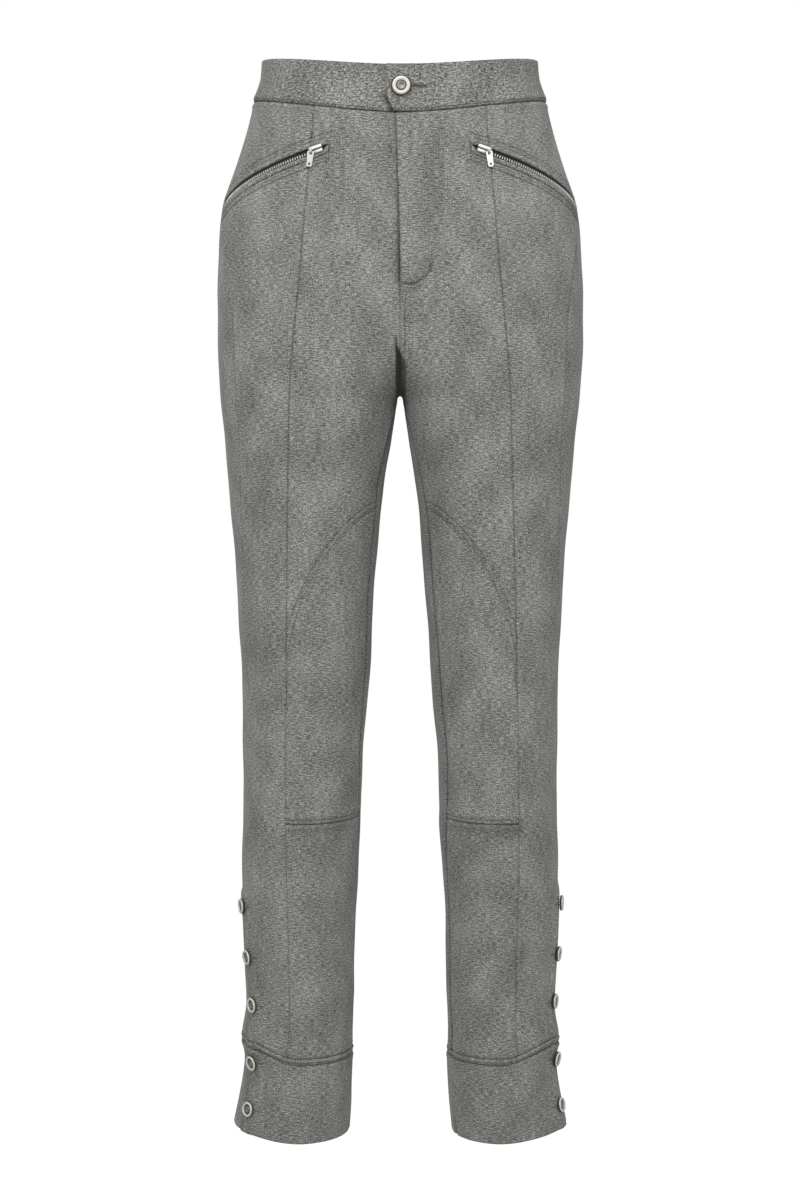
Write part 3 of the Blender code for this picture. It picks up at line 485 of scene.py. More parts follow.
def pocket_width(height, side):
    """Length along the ring from the long seam to the side seam."""
    return FORM.side(height, side) - FORM.long(height, side)


def crossing(line, shares, side):
    """Heights where a line of the pocket meets places at fixed shares of the width, found by repetition."""
    height = line(shares * pocket_width(POCKET_LEVEL, side))
    for _ in range(12):
        height = line(shares * pocket_width(height, side))
    return height


def welt_edge(past_seam):
    """Upper edge of the welt: the opening between it and the lip closes at the front end."""
    return lip(past_seam) - 0.6 - 5.8 * smoothstep((past_seam - POCKET_END) / 6.0)


print("pocket: %.0f mm long" % (pocket_width(POCKET_LEVEL, 1) - POCKET_END))

# %% [markdown]
# ## From the form to cloth
#
# A cut piece is a grid of points: lines down the cloth and lines across it. Beside a seam the lines lie
# close together, because that is where the cloth bends: it dips into the seam and swells a little beside
# it, over the turnings that are pressed open inside. Between seams a few millimetres from line to line are
# enough.

# %% Grids of points
EDGE = np.array([0.0, 0.4, 0.9, 1.5, 2.3, 3.2, 4.2, 5.2, 6.2, 7.2, 8.2, 9.2, 10.2, 11.6])
POCKET_EDGE = np.concatenate([EDGE, [13.5, 15.0, 16.5, 18.0]])
TOUCH = 0.03


def between(start, end, share):
    """The value at this share of the way from start to end."""
    return start + (end - start) * share


def inner_shares(count):
    """Shares of the lines that lie between the close ones beside two seams."""
    return np.linspace(0, 1, count + 2)[1:-1]


def shares_across(width, inner, right=EDGE):
    """Shares of the lines across a piece of about this width, close together at both of its seams."""
    middle = between(EDGE[-1], width - right[-1], inner)
    return np.concatenate([EDGE, middle, width - right[::-1]]) / width


def across(start, stop, inner, right=EDGE, mark=None, kept=1.0):
    """Places along each row: close beside both seams, `inner` between, half of those before `mark`."""
    start = np.broadcast_to(start, stop.shape)
    middle = slice(len(EDGE), stop.shape[1] - len(right))
    first = start[:, middle] + EDGE[-1]
    last = stop[:, middle] - right[-1]
    share = np.broadcast_to(inner, first.shape)
    if mark is not None:
        half = between(0.5, (mark[:, middle] - first) / (last - first), kept)
        share = np.where(share <= 0.5, 2 * share * half, half + (2 * share - 1) * (1 - half))
    beside_start = start[:, :len(EDGE)] + EDGE
    beside_stop = stop[:, -len(right):] - right[::-1]
    return np.concatenate([beside_start, between(first, last, share), beside_stop], axis=1)


def down(top, foot, inner, top_slant=1.0, above=EDGE, below=EDGE):
    """Heights of the rows: close below the upper seam, which may slant, and above the lower one."""
    first, last = top - above[-1] * top_slant, foot + below[-1]
    rows = [top - step * top_slant for step in above]
    rows += [between(first, last, share) for share in inner]
    rows += [foot + step for step in below[::-1]]
    return np.array(rows)


print("lines beside each seam:", len(EDGE), "over %.1f mm" % EDGE[-1])

# %% [markdown]
# ### Relief: seams, rows of stitching and laps
#
# Relief is how far the cloth stands out from the form. A seam is a narrow dip with a soft swelling beside
# it, a bell curve each. A row of stitching pulls the cloth in along a line, and a cut edge is rounded. Where
# two layers lap, the upper one is raised and the lower one is pressed in a little.

# %% Seams, rows and laps
LIP_ROWS = (5.2, 9.2)
WELT_ROWS = (3.2, 6.8)
POCKET_ROW_ENDS = (4.0, -1.0)
PATCH_ROWS = (3.0, 8.0)
CUFF_ROWS = (2.2, 6.4)
BAND_ROW = 2.4
KNEE_ROW = 4.2
SEAT_ROW = 4.6
SEAT_ROW_END = -258.0
LAP_ROW = 3.0
INSEAM_SHAPE = dict(strength=1.1, wide=2.2)
SIDE_SEAM_STRENGTH = 0.4


def bell(distance, width):
    """A bell curve, 1 in its middle: e to the power of minus the square of distance over width."""
    return np.exp(-(distance / width) ** 2)


def seam_relief(distance, strength=1.0, wide=1.0):
    """A dip at a seam and a swelling 3.6 mm beside it, by the distance; `wide` stretches both."""
    share = distance / wide
    return strength * (0.60 * bell(share - 3.6, 2.0) - 1.15 * bell(share, 0.9))


def upright_seam(along, line, strength=1.0, wide=1.0):
    """The relief of a seam that runs up the piece at `line`."""
    return seam_relief(np.abs(along - line), strength, wide)


def long_strength(height):
    """The long seam is pressed flatter the lower it comes."""
    return 0.42 + 0.20 * smoothstep((height + 760.0) / 480.0)


def row_relief(distance):
    """What a row of stitching pulls in: a bell curve about 1 mm to each side."""
    return -0.55 * bell(distance, 0.95)


def rows_relief(distance, rows):
    """Several rows of stitching, each at its own distance from a seam."""
    return sum(row_relief(distance - away) for away in rows)


def cuff_rows_relief(rise):
    """The two rows above the cuff's seam, of which the upper one is sewn tighter."""
    return row_relief(rise - CUFF_ROWS[0]) + 1.7 * row_relief(rise - CUFF_ROWS[1])


def slit_relief(distance):
    """Cloth rolled along the edge of the pocket's slit: rounded at the edge, fuller 3 mm from it."""
    return 0.35 * bell(distance - 3.0, 2.0) - 0.5 * bell(distance, 0.8)


def lap_relief(past_line):
    """The end of a lap at the ankle, by the length past the side seam: a row and the rounded edge."""
    past_edge = past_line - PLACKET_LAP
    return row_relief(past_edge + LAP_ROW) - 0.9 * bell(past_edge, 0.8)


def lap_raised(past_line):
    """How far a lap at the ankle stands out over the layer under it."""
    return LAP * smoothstep((past_line + 7.0) / 6.0)


def tucked(past_line):
    """How far the layer under a lap at the ankle is pressed in."""
    return 0.7 * smoothstep((PLACKET_LAP + 8.0 - past_line) / 8.0)


def opened_at(height):
    """0 above the opening at the ankle and 1 below it."""
    return smoothstep((PLACKET_TOP - height) / 15.0)


def on_leg(height):
    """0 above the fork, rising to 1 over the first 30 mm below it."""
    return smoothstep((FORK - height) / 30.0)


print("deepest point of a seam: %.2f mm" % -seam_relief(0.0))

# %% [markdown]
# ### Soft folds and slow waves
#
# Folds are short strokes from one point to another, each a bell curve across, where the cloth is pulled at
# the fly, the knees and the seat. The back has the same folds on both legs. A slow waviness in several
# directions keeps large areas from looking machined.

# %% Folds and waves
# Each row is x1, z1, x2, z2, width, height: where the stroke starts and ends, and its size.
FRONT_FOLDS = np.array([
    (14, -196, 24, -176, 5.0, -1.6),
    (4, -206, 30, -207, 5.0, 1.0),
    (6, -226, 22, -224, 3.5, -1.1),
    (-9, -44, -8, -120, 5.0, -1.2),
    (30, -70, 34, -160, 9.0, -0.9),
    (-26, -330, -24, -372, 9.0, -1.2),
    (32, -352, 34, -404, 9.0, -1.2),
    (-93, -462, -66, -470, 4.0, -0.8),
    (-90, -480, -68, -486, 4.0, -0.8),
    (-86, -500, -70, -504, 4.0, -0.7),
    (-100, -702, -54, -702, 5.0, -1.4),
    (54, -702, 104, -702, 5.0, -1.4),
    (-104, -688, -48, -686, 5.0, 0.8),
    (50, -686, 106, -688, 5.0, 0.8),
    (72, -722, 108, -700, 10.0, -1.3),
    (112, -826, 78, -876, 9.0, -1.8),
    (104, -838, 70, -884, 8.0, 1.0),
    (-62, -872, -80, -886, 6.0, -1.1),
    (-134, -672, -106, -680, 3.5, -0.8),
    (-122, -684, -106, -692, 3.5, -0.8),
    (-60, -917, -104, -917, 5.0, 0.9),
    (56, -917, 106, -917, 5.0, 0.9),
])
BACK_FOLDS = np.array([
    (20, -300, 92, -322, 9.0, -1.6),
    (16, -330, 70, -362, 9.0, -1.3),
    (30, -690, 128, -700, 8.0, -1.6),
    (60, -722, 140, -712, 7.0, -1.2),
    (60, -880, 120, -850, 9.0, -1.4),
    (12, -250, 60, -285, 10.0, -1.0),
])
OTHER_LEG = (-1, 1, -1, 1, 1, 1)


def fold_relief(point):
    """Bell curves across each stroke, fading past its ends, on the front or the back."""
    x, y, z = np.moveaxis(point, -1, 0)
    total = np.zeros_like(x)
    for front, folds in ((1, FRONT_FOLDS), (-1, BACK_FOLDS), (-1, BACK_FOLDS * OTHER_LEG)):
        facing = smoothstep(0.5 - y * front / 40.0)
        for x1, z1, x2, z2, width, height in folds:
            length = math.hypot(x2 - x1, z2 - z1)
            ahead = ((x - x1) * (x2 - x1) + (z - z1) * (z2 - z1)) / length
            aside = ((x - x1) * (z2 - z1) - (z - z1) * (x2 - x1)) / length
            past = np.maximum(np.maximum(-ahead, ahead - length), 0)
            total += height * bell(aside, width) * bell(past, 1.6 * width) * facing
    return total


def wave_relief(point):
    """Slow waves in several directions, each a sine of the place, under half a millimetre."""
    x, y, z = np.moveaxis(point, -1, 0)
    return (
        0.34 * np.sin(z / 19.0 + 0.021 * x + 1.3 * np.sin(x / 47.0))
        + 0.26 * np.sin(x / 15.0 + z / 61.0 + 1.1)
        + 0.22 * np.sin((x + y) / 23.0 - z / 37.0 + 0.6)
        + 0.16 * np.sin(z / 8.7 + 1.7 * np.sin((x - y) / 33.0)) * np.sin(x / 21.0 + y / 29.0)
    )


print("folds:", len(FRONT_FOLDS), "in front and", 2 * len(BACK_FOLDS), "behind")

# %% [markdown]
# ### Closing the wall
#
# Two grids, the right side of the cloth and the wrong side, are joined round their border into one closed
# wall. All index work is done on whole arrays. The piece also gets a map of the cloth in metres, along the
# ring and up the leg, so that the knit can follow the cloth wherever it goes.

# %% Meshes from arrays
WRONG_SIDE_SHIFT = 3.0
CLOTH_PIECES = {}


def new_mesh(name, points, faces, chart=None, sharp=50.0):
    """A mesh from arrays of points and faces. A face whose last two corners are the same is a triangle."""
    faces = np.asarray(faces, dtype=np.int32)
    real = np.ones(faces.shape, dtype=bool)
    real[:, 3] = faces[:, 3] != faces[:, 2]
    corners = faces[real]
    starts = np.cumsum(real.sum(axis=1)) - real.sum(axis=1)
    mesh = bpy.data.meshes.new(name)
    mesh.vertices.add(len(points))
    mesh.vertices.foreach_set("co", (points * MM).astype(np.float32).ravel())
    mesh.loops.add(len(corners))
    mesh.loops.foreach_set("vertex_index", corners)
    mesh.polygons.add(len(faces))
    mesh.polygons.foreach_set("loop_start", starts.astype(np.int32))
    mesh.polygons.foreach_set("use_smooth", np.ones(len(faces), dtype=bool))
    if chart is not None:
        layer = mesh.uv_layers.new(name="cloth")
        layer.uv.foreach_set("vector", (chart[corners] * MM).astype(np.float32).ravel())
    mesh.update(calc_edges=True)
    mesh.validate()
    if sharp is not None:
        mesh.set_sharp_from_angle(angle=math.radians(sharp))
    return mesh


def new_piece(name, mesh, finish):
    """Puts a mesh in the scene with its finish, on the trousers' body."""
    mesh.materials.append(finish)
    piece = bpy.data.objects.new(name, mesh)
    bpy.context.scene.collection.objects.link(piece)
    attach(piece, "trousers")
    return piece


def grid_faces(rows, columns, around=False, looped=False):
    """Faces between the points of a grid; around closes each row on itself, looped each column."""
    index = np.arange(rows * columns).reshape(rows, columns)
    if around:
        index = np.concatenate([index, index[:, :1]], axis=1)
    if looped:
        index = np.concatenate([index, index[:1]])
    corners = [index[:-1, :-1], index[1:, :-1], index[1:, 1:], index[:-1, 1:]]
    return np.stack(corners, axis=-1).reshape(-1, 4)


def wall_faces(rows, columns, side):
    """Faces of the right side, the wrong side and the rim of a wall."""
    outer = grid_faces(rows, columns)
    index = np.arange(rows * columns).reshape(rows, columns)
    border = np.concatenate([index[0], index[1:, -1], index[-1, -2::-1], index[-2:0:-1, 0]])
    ahead = np.roll(border, -1)
    size = rows * columns
    rim = np.stack([border, ahead, ahead + size, border + size], axis=-1)
    faces = np.concatenate([outer, outer[:, ::-1] + size, rim])
    return faces if side > 0 else faces[:, ::-1]


def add_wall(name, outer, inner, chart, dark, side):
    """Makes a wall's mesh with its map and with how dark each point is, and keeps it under its name."""
    points = np.concatenate([outer.reshape(-1, 3), inner.reshape(-1, 3)])
    chart = chart.reshape(-1, 2)
    faces = wall_faces(*outer.shape[:2], side)
    mesh = new_mesh(name, points, faces, np.concatenate([chart, chart + WRONG_SIDE_SHIFT]))
    layer = mesh.attributes.new("shade", "FLOAT", "POINT")
    layer.data.foreach_set("value", np.tile(dark.ravel(), 2).astype(np.float32))
    CLOTH_PIECES[name] = mesh


print("faces of a wall of 3 by 4 points:", len(wall_faces(3, 4, 1)))

# %% [markdown]
# ### A cut piece
#
# The relief, the folds and the waves move the form's points out, and the cloth's thickness gives the wrong
# side. Little light reaches the bottom of a seam or the place where the legs part, so each point also keeps
# how dark it is there, which the knit's colour reads later.

# %% Cloth
def cloth_grid(along, height, side, lift, thickness):
    """Right and wrong side of a piece: the form moved out by `lift`, and in by the thickness."""
    point, out = FORM.place(along, height)
    moving = out * lift[..., None]
    joined = smoothstep((height - FORK + 6.0) / 6.0)
    moving[..., 0] *= between(1.0, smoothstep(np.abs(point[..., 0]) / 9.0), joined)
    outer = point + moving
    inner = outer - out * thickness
    return outer * (side, 1.0, 1.0), inner * (side, 1.0, 1.0)


def cleft_shade(along, height, side):
    """How dark it is where the legs part: a band that widens downwards, and a bell beside the inner leg."""
    x, y, z = np.moveaxis(FORM.place(along, height)[0], -1, 0)
    right_edge, left_edge = -4.9, between(-2.0, 6.3, smoothstep((-245.0 - z) / 24.0))
    band = smoothstep((side * x - right_edge) / 1.5) * smoothstep((left_edge - side * x) / 1.6)
    paler = 0.22 * smoothstep((side * x - 0.5) / 2.0) * smoothstep((z + 292.0) / 10.0)
    parting = band * (1 - paler) * smoothstep((-234.0 - z) / 16.0)
    inner = column("inner", np.minimum(height, FORK))
    beside = bell(x - inner, 2.4) * smoothstep((FORK + 12.0 - z) / 16.0)
    lower = smoothstep((z + 420.0) / 100.0)
    facing = smoothstep((28.0 - y) / 60.0)
    return np.maximum(parting, 0.75 * beside * lower) * facing


def shade_of(relief, folds, cleft):
    """Darkness from 0 to 1, deepest in the bottom of a dip, where little light comes in."""
    return np.clip(0.64 * np.clip(-relief, 0, 1.3) / 1.15 + 0.16 * np.clip(-folds, 0, 2) + cleft, 0, 1)


def soft_cloth(along, height, side, lift, relief, thickness, cleft):
    """Both sides of a piece with its folds and waves, and its darkness."""
    point = FORM.place(along, height)[0] * (side, 1.0, 1.0)
    folds = fold_relief(point)
    outer, inner = cloth_grid(along, height, side, lift + relief + folds + wave_relief(point), thickness)
    return outer, inner, shade_of(relief, folds, cleft)


# `painted_shade` is painted shade laid evenly over the whole piece.
def cloth(name, along, height, side, relief, thickness=CLOTH, middle=None, raised=0.0, painted_shade=0.0):
    """Builds one cut piece; `middle` keeps its points on their own side of the middle plane."""
    cleft = cleft_shade(along, height, side) + painted_shade
    outer, inner, dark = soft_cloth(along, height, side, raised, relief, thickness, cleft)
    if middle is not None:
        for grid in (outer, inner):
            kept = side * np.maximum(side * grid[..., 0] - 1.5 * TOUCH, 0.0)
            grid[..., 0] = np.where(middle, kept, grid[..., 0])
    upright = FORM.back(height) if name.startswith("back") else FORM.front(height)
    chart = np.stack([side * (along - upright), height], axis=-1)
    add_wall(name, outer, inner, chart, dark, side)


print("darkness in the bottom of a seam: %.2f" % shade_of(seam_relief(0.0), 0.0, 0.0))

# %% [markdown]
# ## The upper fronts
#
# Each front runs from the waistband down to the knee patch. Its outer edge is the long seam that gives these
# trousers their riding look. The pocket's front end is cut into it, so where the pocket lies its last lines
# are gathered along the cut, and its rows of heights are laid round it.

# %% The front's rows
FRONT_WIDTH = 118.0
POCKET_GAP = 0.35


def front_heights(side, nominal):
    """Heights of the front's rows down to the fork and, for each, whether it passes the pocket's cut."""
    width = FORM.long(YOKE_LEVEL, side)
    top = waist_seam(nominal * width) - TOUCH
    past = np.minimum(nominal * width - width, 0.0)
    beside = past > POCKET_END - 0.01
    cut_top, cut_foot = lip(POCKET_END), pocket_foot(POCKET_END)
    above = np.where(beside, lip(past), cut_top) + POCKET_GAP
    under = np.where(beside, pocket_foot(past), cut_foot) - POCKET_GAP
    hip = np.full_like(nominal, -98.0)
    rows = list(down(top, above, inner_shares(4), above=EDGE[:9]))
    cut = [False] * len(rows)
    for level in np.linspace(cut_top, cut_foot, 7):
        rows.append(np.full_like(nominal, level))
        cut.append(True)
    rows += list(down(under, hip, inner_shares(1), above=EDGE[:9], below=EDGE[:1]))
    levels = np.concatenate([np.arange(-100.0, -162.0, -4.0), np.arange(-164.0, -214.0, -1.8),
                             np.arange(-214.0, FORK + 8, -4.0), [-291.0, -294.0, -296.0, FORK]])
    rows += [np.full_like(nominal, level) for level in levels]
    cut += [False] * (len(rows) - len(cut))
    return np.array(rows), np.array(cut)


def patch_slant(nominal, width):
    """How steep the patch's upper seam is: the length of its slope for each millimetre across."""
    slope = np.gradient(patch_seam(nominal), nominal * width)
    return np.minimum(np.sqrt(1 + slope ** 2), 7.0)


def front_rows(side, nominal):
    """Heights of all rows, which of them pass the cut, and how far each keeps to the knit's upright line."""
    height, cut = front_heights(side, nominal)
    foot, slant = patch_seam(nominal), patch_slant(nominal, FRONT_WIDTH)
    shares = np.concatenate([[0.01, 0.02, 0.035, 0.055, 0.08], np.linspace(0.11, 1, 30)[:-1]])
    leg = [between(FORK, foot + EDGE[-1] * slant, share) for share in shares]
    hem = [foot + step * slant for step in EDGE[::-1]]
    kept = np.concatenate([np.ones(len(height)), 1 - shares, np.zeros(len(hem))])[:, None]
    cut = np.concatenate([cut, np.zeros(len(leg) + len(hem), bool)])
    return np.concatenate([height, leg, hem]), cut, kept


print("rows of a front:", len(front_rows(1, shares_across(FRONT_WIDTH, inner_shares(27)))[0]))

# %% [markdown]
# ### The slit's end and the fly
#
# On the wearer's left the front laps over the other one as the fly. It is held at its foot by a hook of
# stitching, and the front under it is pressed in. Beside the slit the cloth is rolled, and the pocket's rows
# of stitching run past its end.

# %% The slit's end and the fly
FLY_STITCH = np.array([
    (28.8, -177.0), (26.6, -181.6), (21.6, -188.0), (14.0, -192.6), (6.0, -193.4), (1.2, -191.8),
])


def fly_stitch_distance(along, height):
    """Distance from the line of stitching that holds the fly, made of short straight stretches."""
    nearest = np.inf
    for (a1, h1), (a2, h2) in zip(FLY_STITCH[:-1], FLY_STITCH[1:]):
        length = math.hypot(a2 - a1, h2 - h1)
        share = ((along - a1) * (a2 - a1) + (height - h1) * (h2 - h1)) / length ** 2
        share = np.clip(share, 0, 1)
        gap = np.hypot(along - between(a1, a2, share), height - between(h1, h2, share))
        nearest = np.minimum(nearest, gap)
    return nearest


def fly_relief(along, height, start, over):
    """The fly's relief, with its hook of stitching, and its lap; `over` is 1 above its foot and 0 below."""
    hook = fly_stitch_distance(along, height)
    outside = smoothstep((-along - height - 152.0) / 6.0)
    relief = 1.7 * row_relief(hook) + 0.7 * bell(hook - 3.2, 1.6) * outside - bell(along - start, 0.7) * over
    near = smoothstep((34.0 - along) / 30.0)
    return relief, LAP * near * smoothstep((height - FLY_BOTTOM + 28.0) / 26.0)


def slit_end_relief(past, height):
    """Relief round the slit's end and of the rows of stitching there, and the distance from the slit."""
    beside = np.maximum(past, POCKET_END)
    beyond = np.maximum(np.maximum(height - lip(beside), pocket_foot(beside) - height), 0)
    distance = np.hypot(np.maximum(POCKET_END - past, 0), beyond)
    relief = slit_relief(distance)
    reach = np.clip(past, POCKET_END - 8.0, 0)
    for above, below, end in zip(LIP_ROWS, WELT_ROWS, POCKET_ROW_ENDS):
        rows = row_relief(height - lip(reach) - above) + row_relief(pocket_foot(reach) - height - below)
        relief += rows * smoothstep((past - POCKET_END - end + 0.8) / 1.2)
    return relief, distance


print("fly: from %.0f to %.0f mm, lapping %.1f mm" % (WAIST_SEAM["front"], FLY_BOTTOM, FLY_LAP))

# %% [markdown]
# ### Both fronts
#
# The places along each row run from the middle, the fly's edge or the inseam to the long seam. Then every
# seam and row adds its own relief, each a function of the distance from its line.

# %% Upper fronts
def gather(along, stop, cut):
    """Draws the last lines of the rows that pass the pocket's cut together along the cut."""
    last = np.arange(len(POCKET_EDGE))[::-1]
    gathered = stop[:, -len(last):] + POCKET_END - 0.25 - TOUCH * last
    along[cut, -len(last):] = gathered[cut]


def upper_front(side, label):
    """One front, from the waistband to the knee patch."""
    inner = np.concatenate([np.linspace(0, 0.5, 20)[1:], np.linspace(0.5, 1, 9)[1:-1]])
    nominal = shares_across(FRONT_WIDTH, inner, right=POCKET_EDGE)
    height, cut, kept = front_rows(side, nominal)
    foot, slant = patch_seam(nominal), patch_slant(nominal, FRONT_WIDTH)
    seam = FORM.long(height, side)
    start = inseam(height, side) + TOUCH
    if side > 0:
        start = np.where(height >= FLY_BOTTOM, fly_edge(height), start)
    along = across(start, seam - TOUCH, inner, right=POCKET_EDGE, mark=FORM.front(height), kept=kept)
    gather(along, seam - TOUCH, cut)
    relief, distance = slit_end_relief(along - seam, height)
    relief += upright_seam(along, seam, long_strength(height)) * smoothstep((distance - 1.0) / 3.0)
    relief += seam_relief(waist_seam(np.abs(along)) - height)
    rise = (height - foot) / slant
    relief += seam_relief(rise, 0.5) + 0.75 * rows_relief(rise, PATCH_ROWS)
    under_fly = smoothstep((FLY_BOTTOM - height) / 6.0)
    relief += upright_seam(along, start, 0.5) * under_fly * (1 - on_leg(height))
    relief += upright_seam(along, start, **INSEAM_SHAPE) * on_leg(height)
    seat_row = smoothstep((FLY_BOTTOM - 14 - height) / 6.0) * (height > SEAT_ROW_END)
    relief += row_relief(along - start - SEAT_ROW) * seat_row
    raised = 0.0
    if side > 0:
        lap, raised = fly_relief(along, height, start, 1 - under_fly)
        relief += lap
    else:
        relief -= 1.3 * bell(np.maximum(along + 1.0, 0), 4.5) * (1 - under_fly)
    middle = (along >= 0) & (height > FORK - 4)
    cloth(f"front_{label}", along, height, side, relief, middle=middle, raised=raised)


for side, label in SIDES:
    upper_front(side, label)
print("upper fronts:", [len(mesh.vertices) for mesh in CLOTH_PIECES.values()], "points")

# %% [markdown]
# ## Knee patches and shins
#
# The patch covers the knee down to a level seam, with an upper edge that drops steeply to the long seam. The
# shin carries on from it to the cuff. Both run from the inseam to the long front seam.

# %% Knee patches and shins
PATCH_WIDTH = 100.0


def leg_relief(along, height, side):
    """Seams along the inseam and the long seam."""
    outer = upright_seam(along, FORM.long(height, side), long_strength(height))
    return outer + upright_seam(along, inseam(height, side), **INSEAM_SHAPE)


def leg_columns(height, side, inner):
    """Places along each row from the inseam to the long seam."""
    start = inseam(height, side) + TOUCH
    return across(start, FORM.long(height, side) - TOUCH, inner)


def knee_patch(side, label):
    """The patch, with a row of stitching above its level seam."""
    inner = inner_shares(15)
    nominal = shares_across(PATCH_WIDTH, inner)
    top = patch_seam(nominal)
    slant = patch_slant(nominal, PATCH_WIDTH)
    height = down(top - TOUCH * slant, np.full_like(nominal, KNEE + TOUCH), inner_shares(44), slant)
    along = leg_columns(height, side, inner)
    rise = height - KNEE
    relief = leg_relief(along, height, side) + seam_relief((top - height) / slant, 0.5)
    relief += 0.7 * bell(rise - 8.0, 2.6) - 1.15 * bell(rise, 0.9) + row_relief(rise - KNEE_ROW)
    cloth(f"knee_patch_{label}", along, height, side, relief)


def shin(side, label):
    """The shin, from the knee's level seam to the cuff."""
    inner = inner_shares(16)
    stop = np.full((1, len(inner) + 2 * len(EDGE)), FORM.long(CUFF_LEVEL, side))
    foot = cuff_seam(across(inseam(CUFF_LEVEL, side), stop, inner)[0])
    height = down(np.full_like(foot, KNEE - TOUCH), foot + TOUCH, inner_shares(46))
    along = leg_columns(height, side, inner)
    relief = leg_relief(along, height, side) + seam_relief(KNEE - height) + seam_relief(height - foot)
    relief += cuff_rows_relief(height - foot)
    cloth(f"shin_{label}", along, height, side, relief)


for side, label in SIDES:
    knee_patch(side, label)
    shin(side, label)
print("knee patches and shins: down to %.0f mm" % cuff_seam(0.0))

# %% [markdown]
# ## Yoke, pocket and side
#
# The pocket is a slanting slit closed by a zip. Above it is a small yoke, below it a narrow welt, and the
# zip's tape lies behind. All three share the lines of the slit, at fixed shares of the width between the
# long seam and the side seam.

# %% Yoke and pocket
SIDE_WIDTH = 60.0
TAPE_CLOTH = 1.0
TAPE_BEHIND = CLOTH + 0.9


def hip_yoke(side, label):
    """The small panel between the waistband and the pocket."""
    start, stop = FORM.long(YOKE_LEVEL, side), FORM.side(YOKE_LEVEL, side)
    shares = shares_across(SIDE_WIDTH, inner_shares(12))
    top = waist_seam(between(start, stop, shares)) - TOUCH
    foot = crossing(lip, shares, side) + POCKET_GAP
    height = down(top, foot, inner_shares(7))
    seam, edge = FORM.long(height, side), FORM.side(height, side)
    along = between(seam + TOUCH, edge - TOUCH, shares)
    relief = upright_seam(along, seam, 0.6) + upright_seam(along, edge, SIDE_SEAM_STRENGTH)
    relief += seam_relief(top - height) + slit_relief(height - foot) + rows_relief(height - foot, LIP_ROWS)
    cloth(f"hip_yoke_{label}", along, height, side, relief)


def pocket(side, label):
    """The welt under the slit, and the zip's tape behind it; both start before the long seam."""
    ahead = np.linspace(POCKET_END + 0.3, 0.0, 9)[:-1]
    shares = shares_across(SIDE_WIDTH, inner_shares(14))

    def edge(line):
        """Heights along one of the pocket's lines, before and past the long seam."""
        return np.concatenate([line(ahead), crossing(line, shares, side)])

    def places(height, stop):
        """Places along each row, up to `stop` short of the side seam."""
        wide = pocket_width(height, side)[:, len(ahead):] - stop
        past = np.concatenate([np.broadcast_to(ahead, (len(height), len(ahead))), shares * wide], axis=1)
        return FORM.long(height, side) + past

    opening, upper, lower = edge(lip), edge(welt_edge), edge(pocket_foot) + TOUCH
    height = between(upper, lower, np.linspace(0, 1, 12)[:, None])
    relief = 0.3 * bell(upper - height - 2.4, 1.4) - 0.5 * bell(upper - height, 0.8)
    relief -= 0.95 * bell(height - lower, 0.8)
    cloth(f"pocket_welt_{label}", places(height, TOUCH), height, side, relief)
    height = between(opening + 1.2, upper - 1.2, np.linspace(0, 1, 5)[:, None])
    along = places(height, SEAM)
    cloth(f"zip_tape_{label}", along, height, side, 0.0 * height, thickness=TAPE_CLOTH, raised=-TAPE_BEHIND)


for side, label in SIDES:
    hip_yoke(side, label)
    pocket(side, label)
print("pocket openings: %.1f mm high" % (lip(0.0) - welt_edge(0.0)))

# %% [markdown]
# ### Side panels
#
# The side panel hangs from the welt and runs to the cuff. Near the ankle its edge laps over the back and
# carries buttons. Its last few lines reach past the side seam there, and are drawn together on it above.

# %% Side panels
LAP_SHARES = np.array([0.15, 0.4, 0.65, 0.9, 1.0])


def repeat_last(values):
    """The last of the values again for each line of the lap."""
    ends = np.repeat(values[..., -1:], len(LAP_SHARES), axis=-1)
    return np.concatenate([values, ends], axis=-1)


def side_panel(side, label):
    """The panel from the pocket to the cuff, with the lap at the ankle."""
    shares = shares_across(SIDE_WIDTH, inner_shares(10))
    top = crossing(pocket_foot, shares, side) - TOUCH
    foot = cuff_seam(between(FORM.long(CUFF_LEVEL, side), FORM.side(CUFF_LEVEL, side), shares))
    height = repeat_last(down(top, foot + TOUCH, inner_shares(165)))
    top, foot = repeat_last(top), repeat_last(foot)
    seam, line = FORM.long(height, side), FORM.side(height, side)
    opened = opened_at(height)
    along = between(seam + TOUCH, line - 2.0 * opened - TOUCH, repeat_last(shares))
    along[:, len(shares):] += ((PLACKET_LAP + 2.0) * opened[:, len(shares):] + 0.004) * LAP_SHARES
    relief = upright_seam(along, seam, long_strength(height)) + seam_relief(top - height)
    relief += rows_relief(top - height, WELT_ROWS)
    relief += upright_seam(along, line, SIDE_SEAM_STRENGTH) * (1 - opened)
    relief += seam_relief(height - foot) + cuff_rows_relief(height - foot)
    relief += lap_relief(along - line) * opened
    cloth(f"side_panel_{label}", along, height, side, relief, raised=opened * lap_raised(along - line))


for side, label in SIDES:
    side_panel(side, label)
print("side panels: %.0f mm long" % (pocket_foot(0.0) - cuff_seam(FORM.long(CUFF_LEVEL, 1))))

# %% [markdown]
# ## Back and cuffs
#
# The back is one piece from waist to cuff, for seat and leg together. The cuff is a band round the ankle.
# Its front end laps over its back end, in line with the opening above it.

# %% Back and cuffs
CUFF_WIDTH = 320.0


def back_across(height, side, inner):
    """Places along each row from the side seam round the back to the middle or the inseam."""
    start = FORM.side(height, side) + TOUCH
    stop = FORM.ring(height) + inseam(height, side) - TOUCH
    return across(start, stop, inner, mark=FORM.back(height))


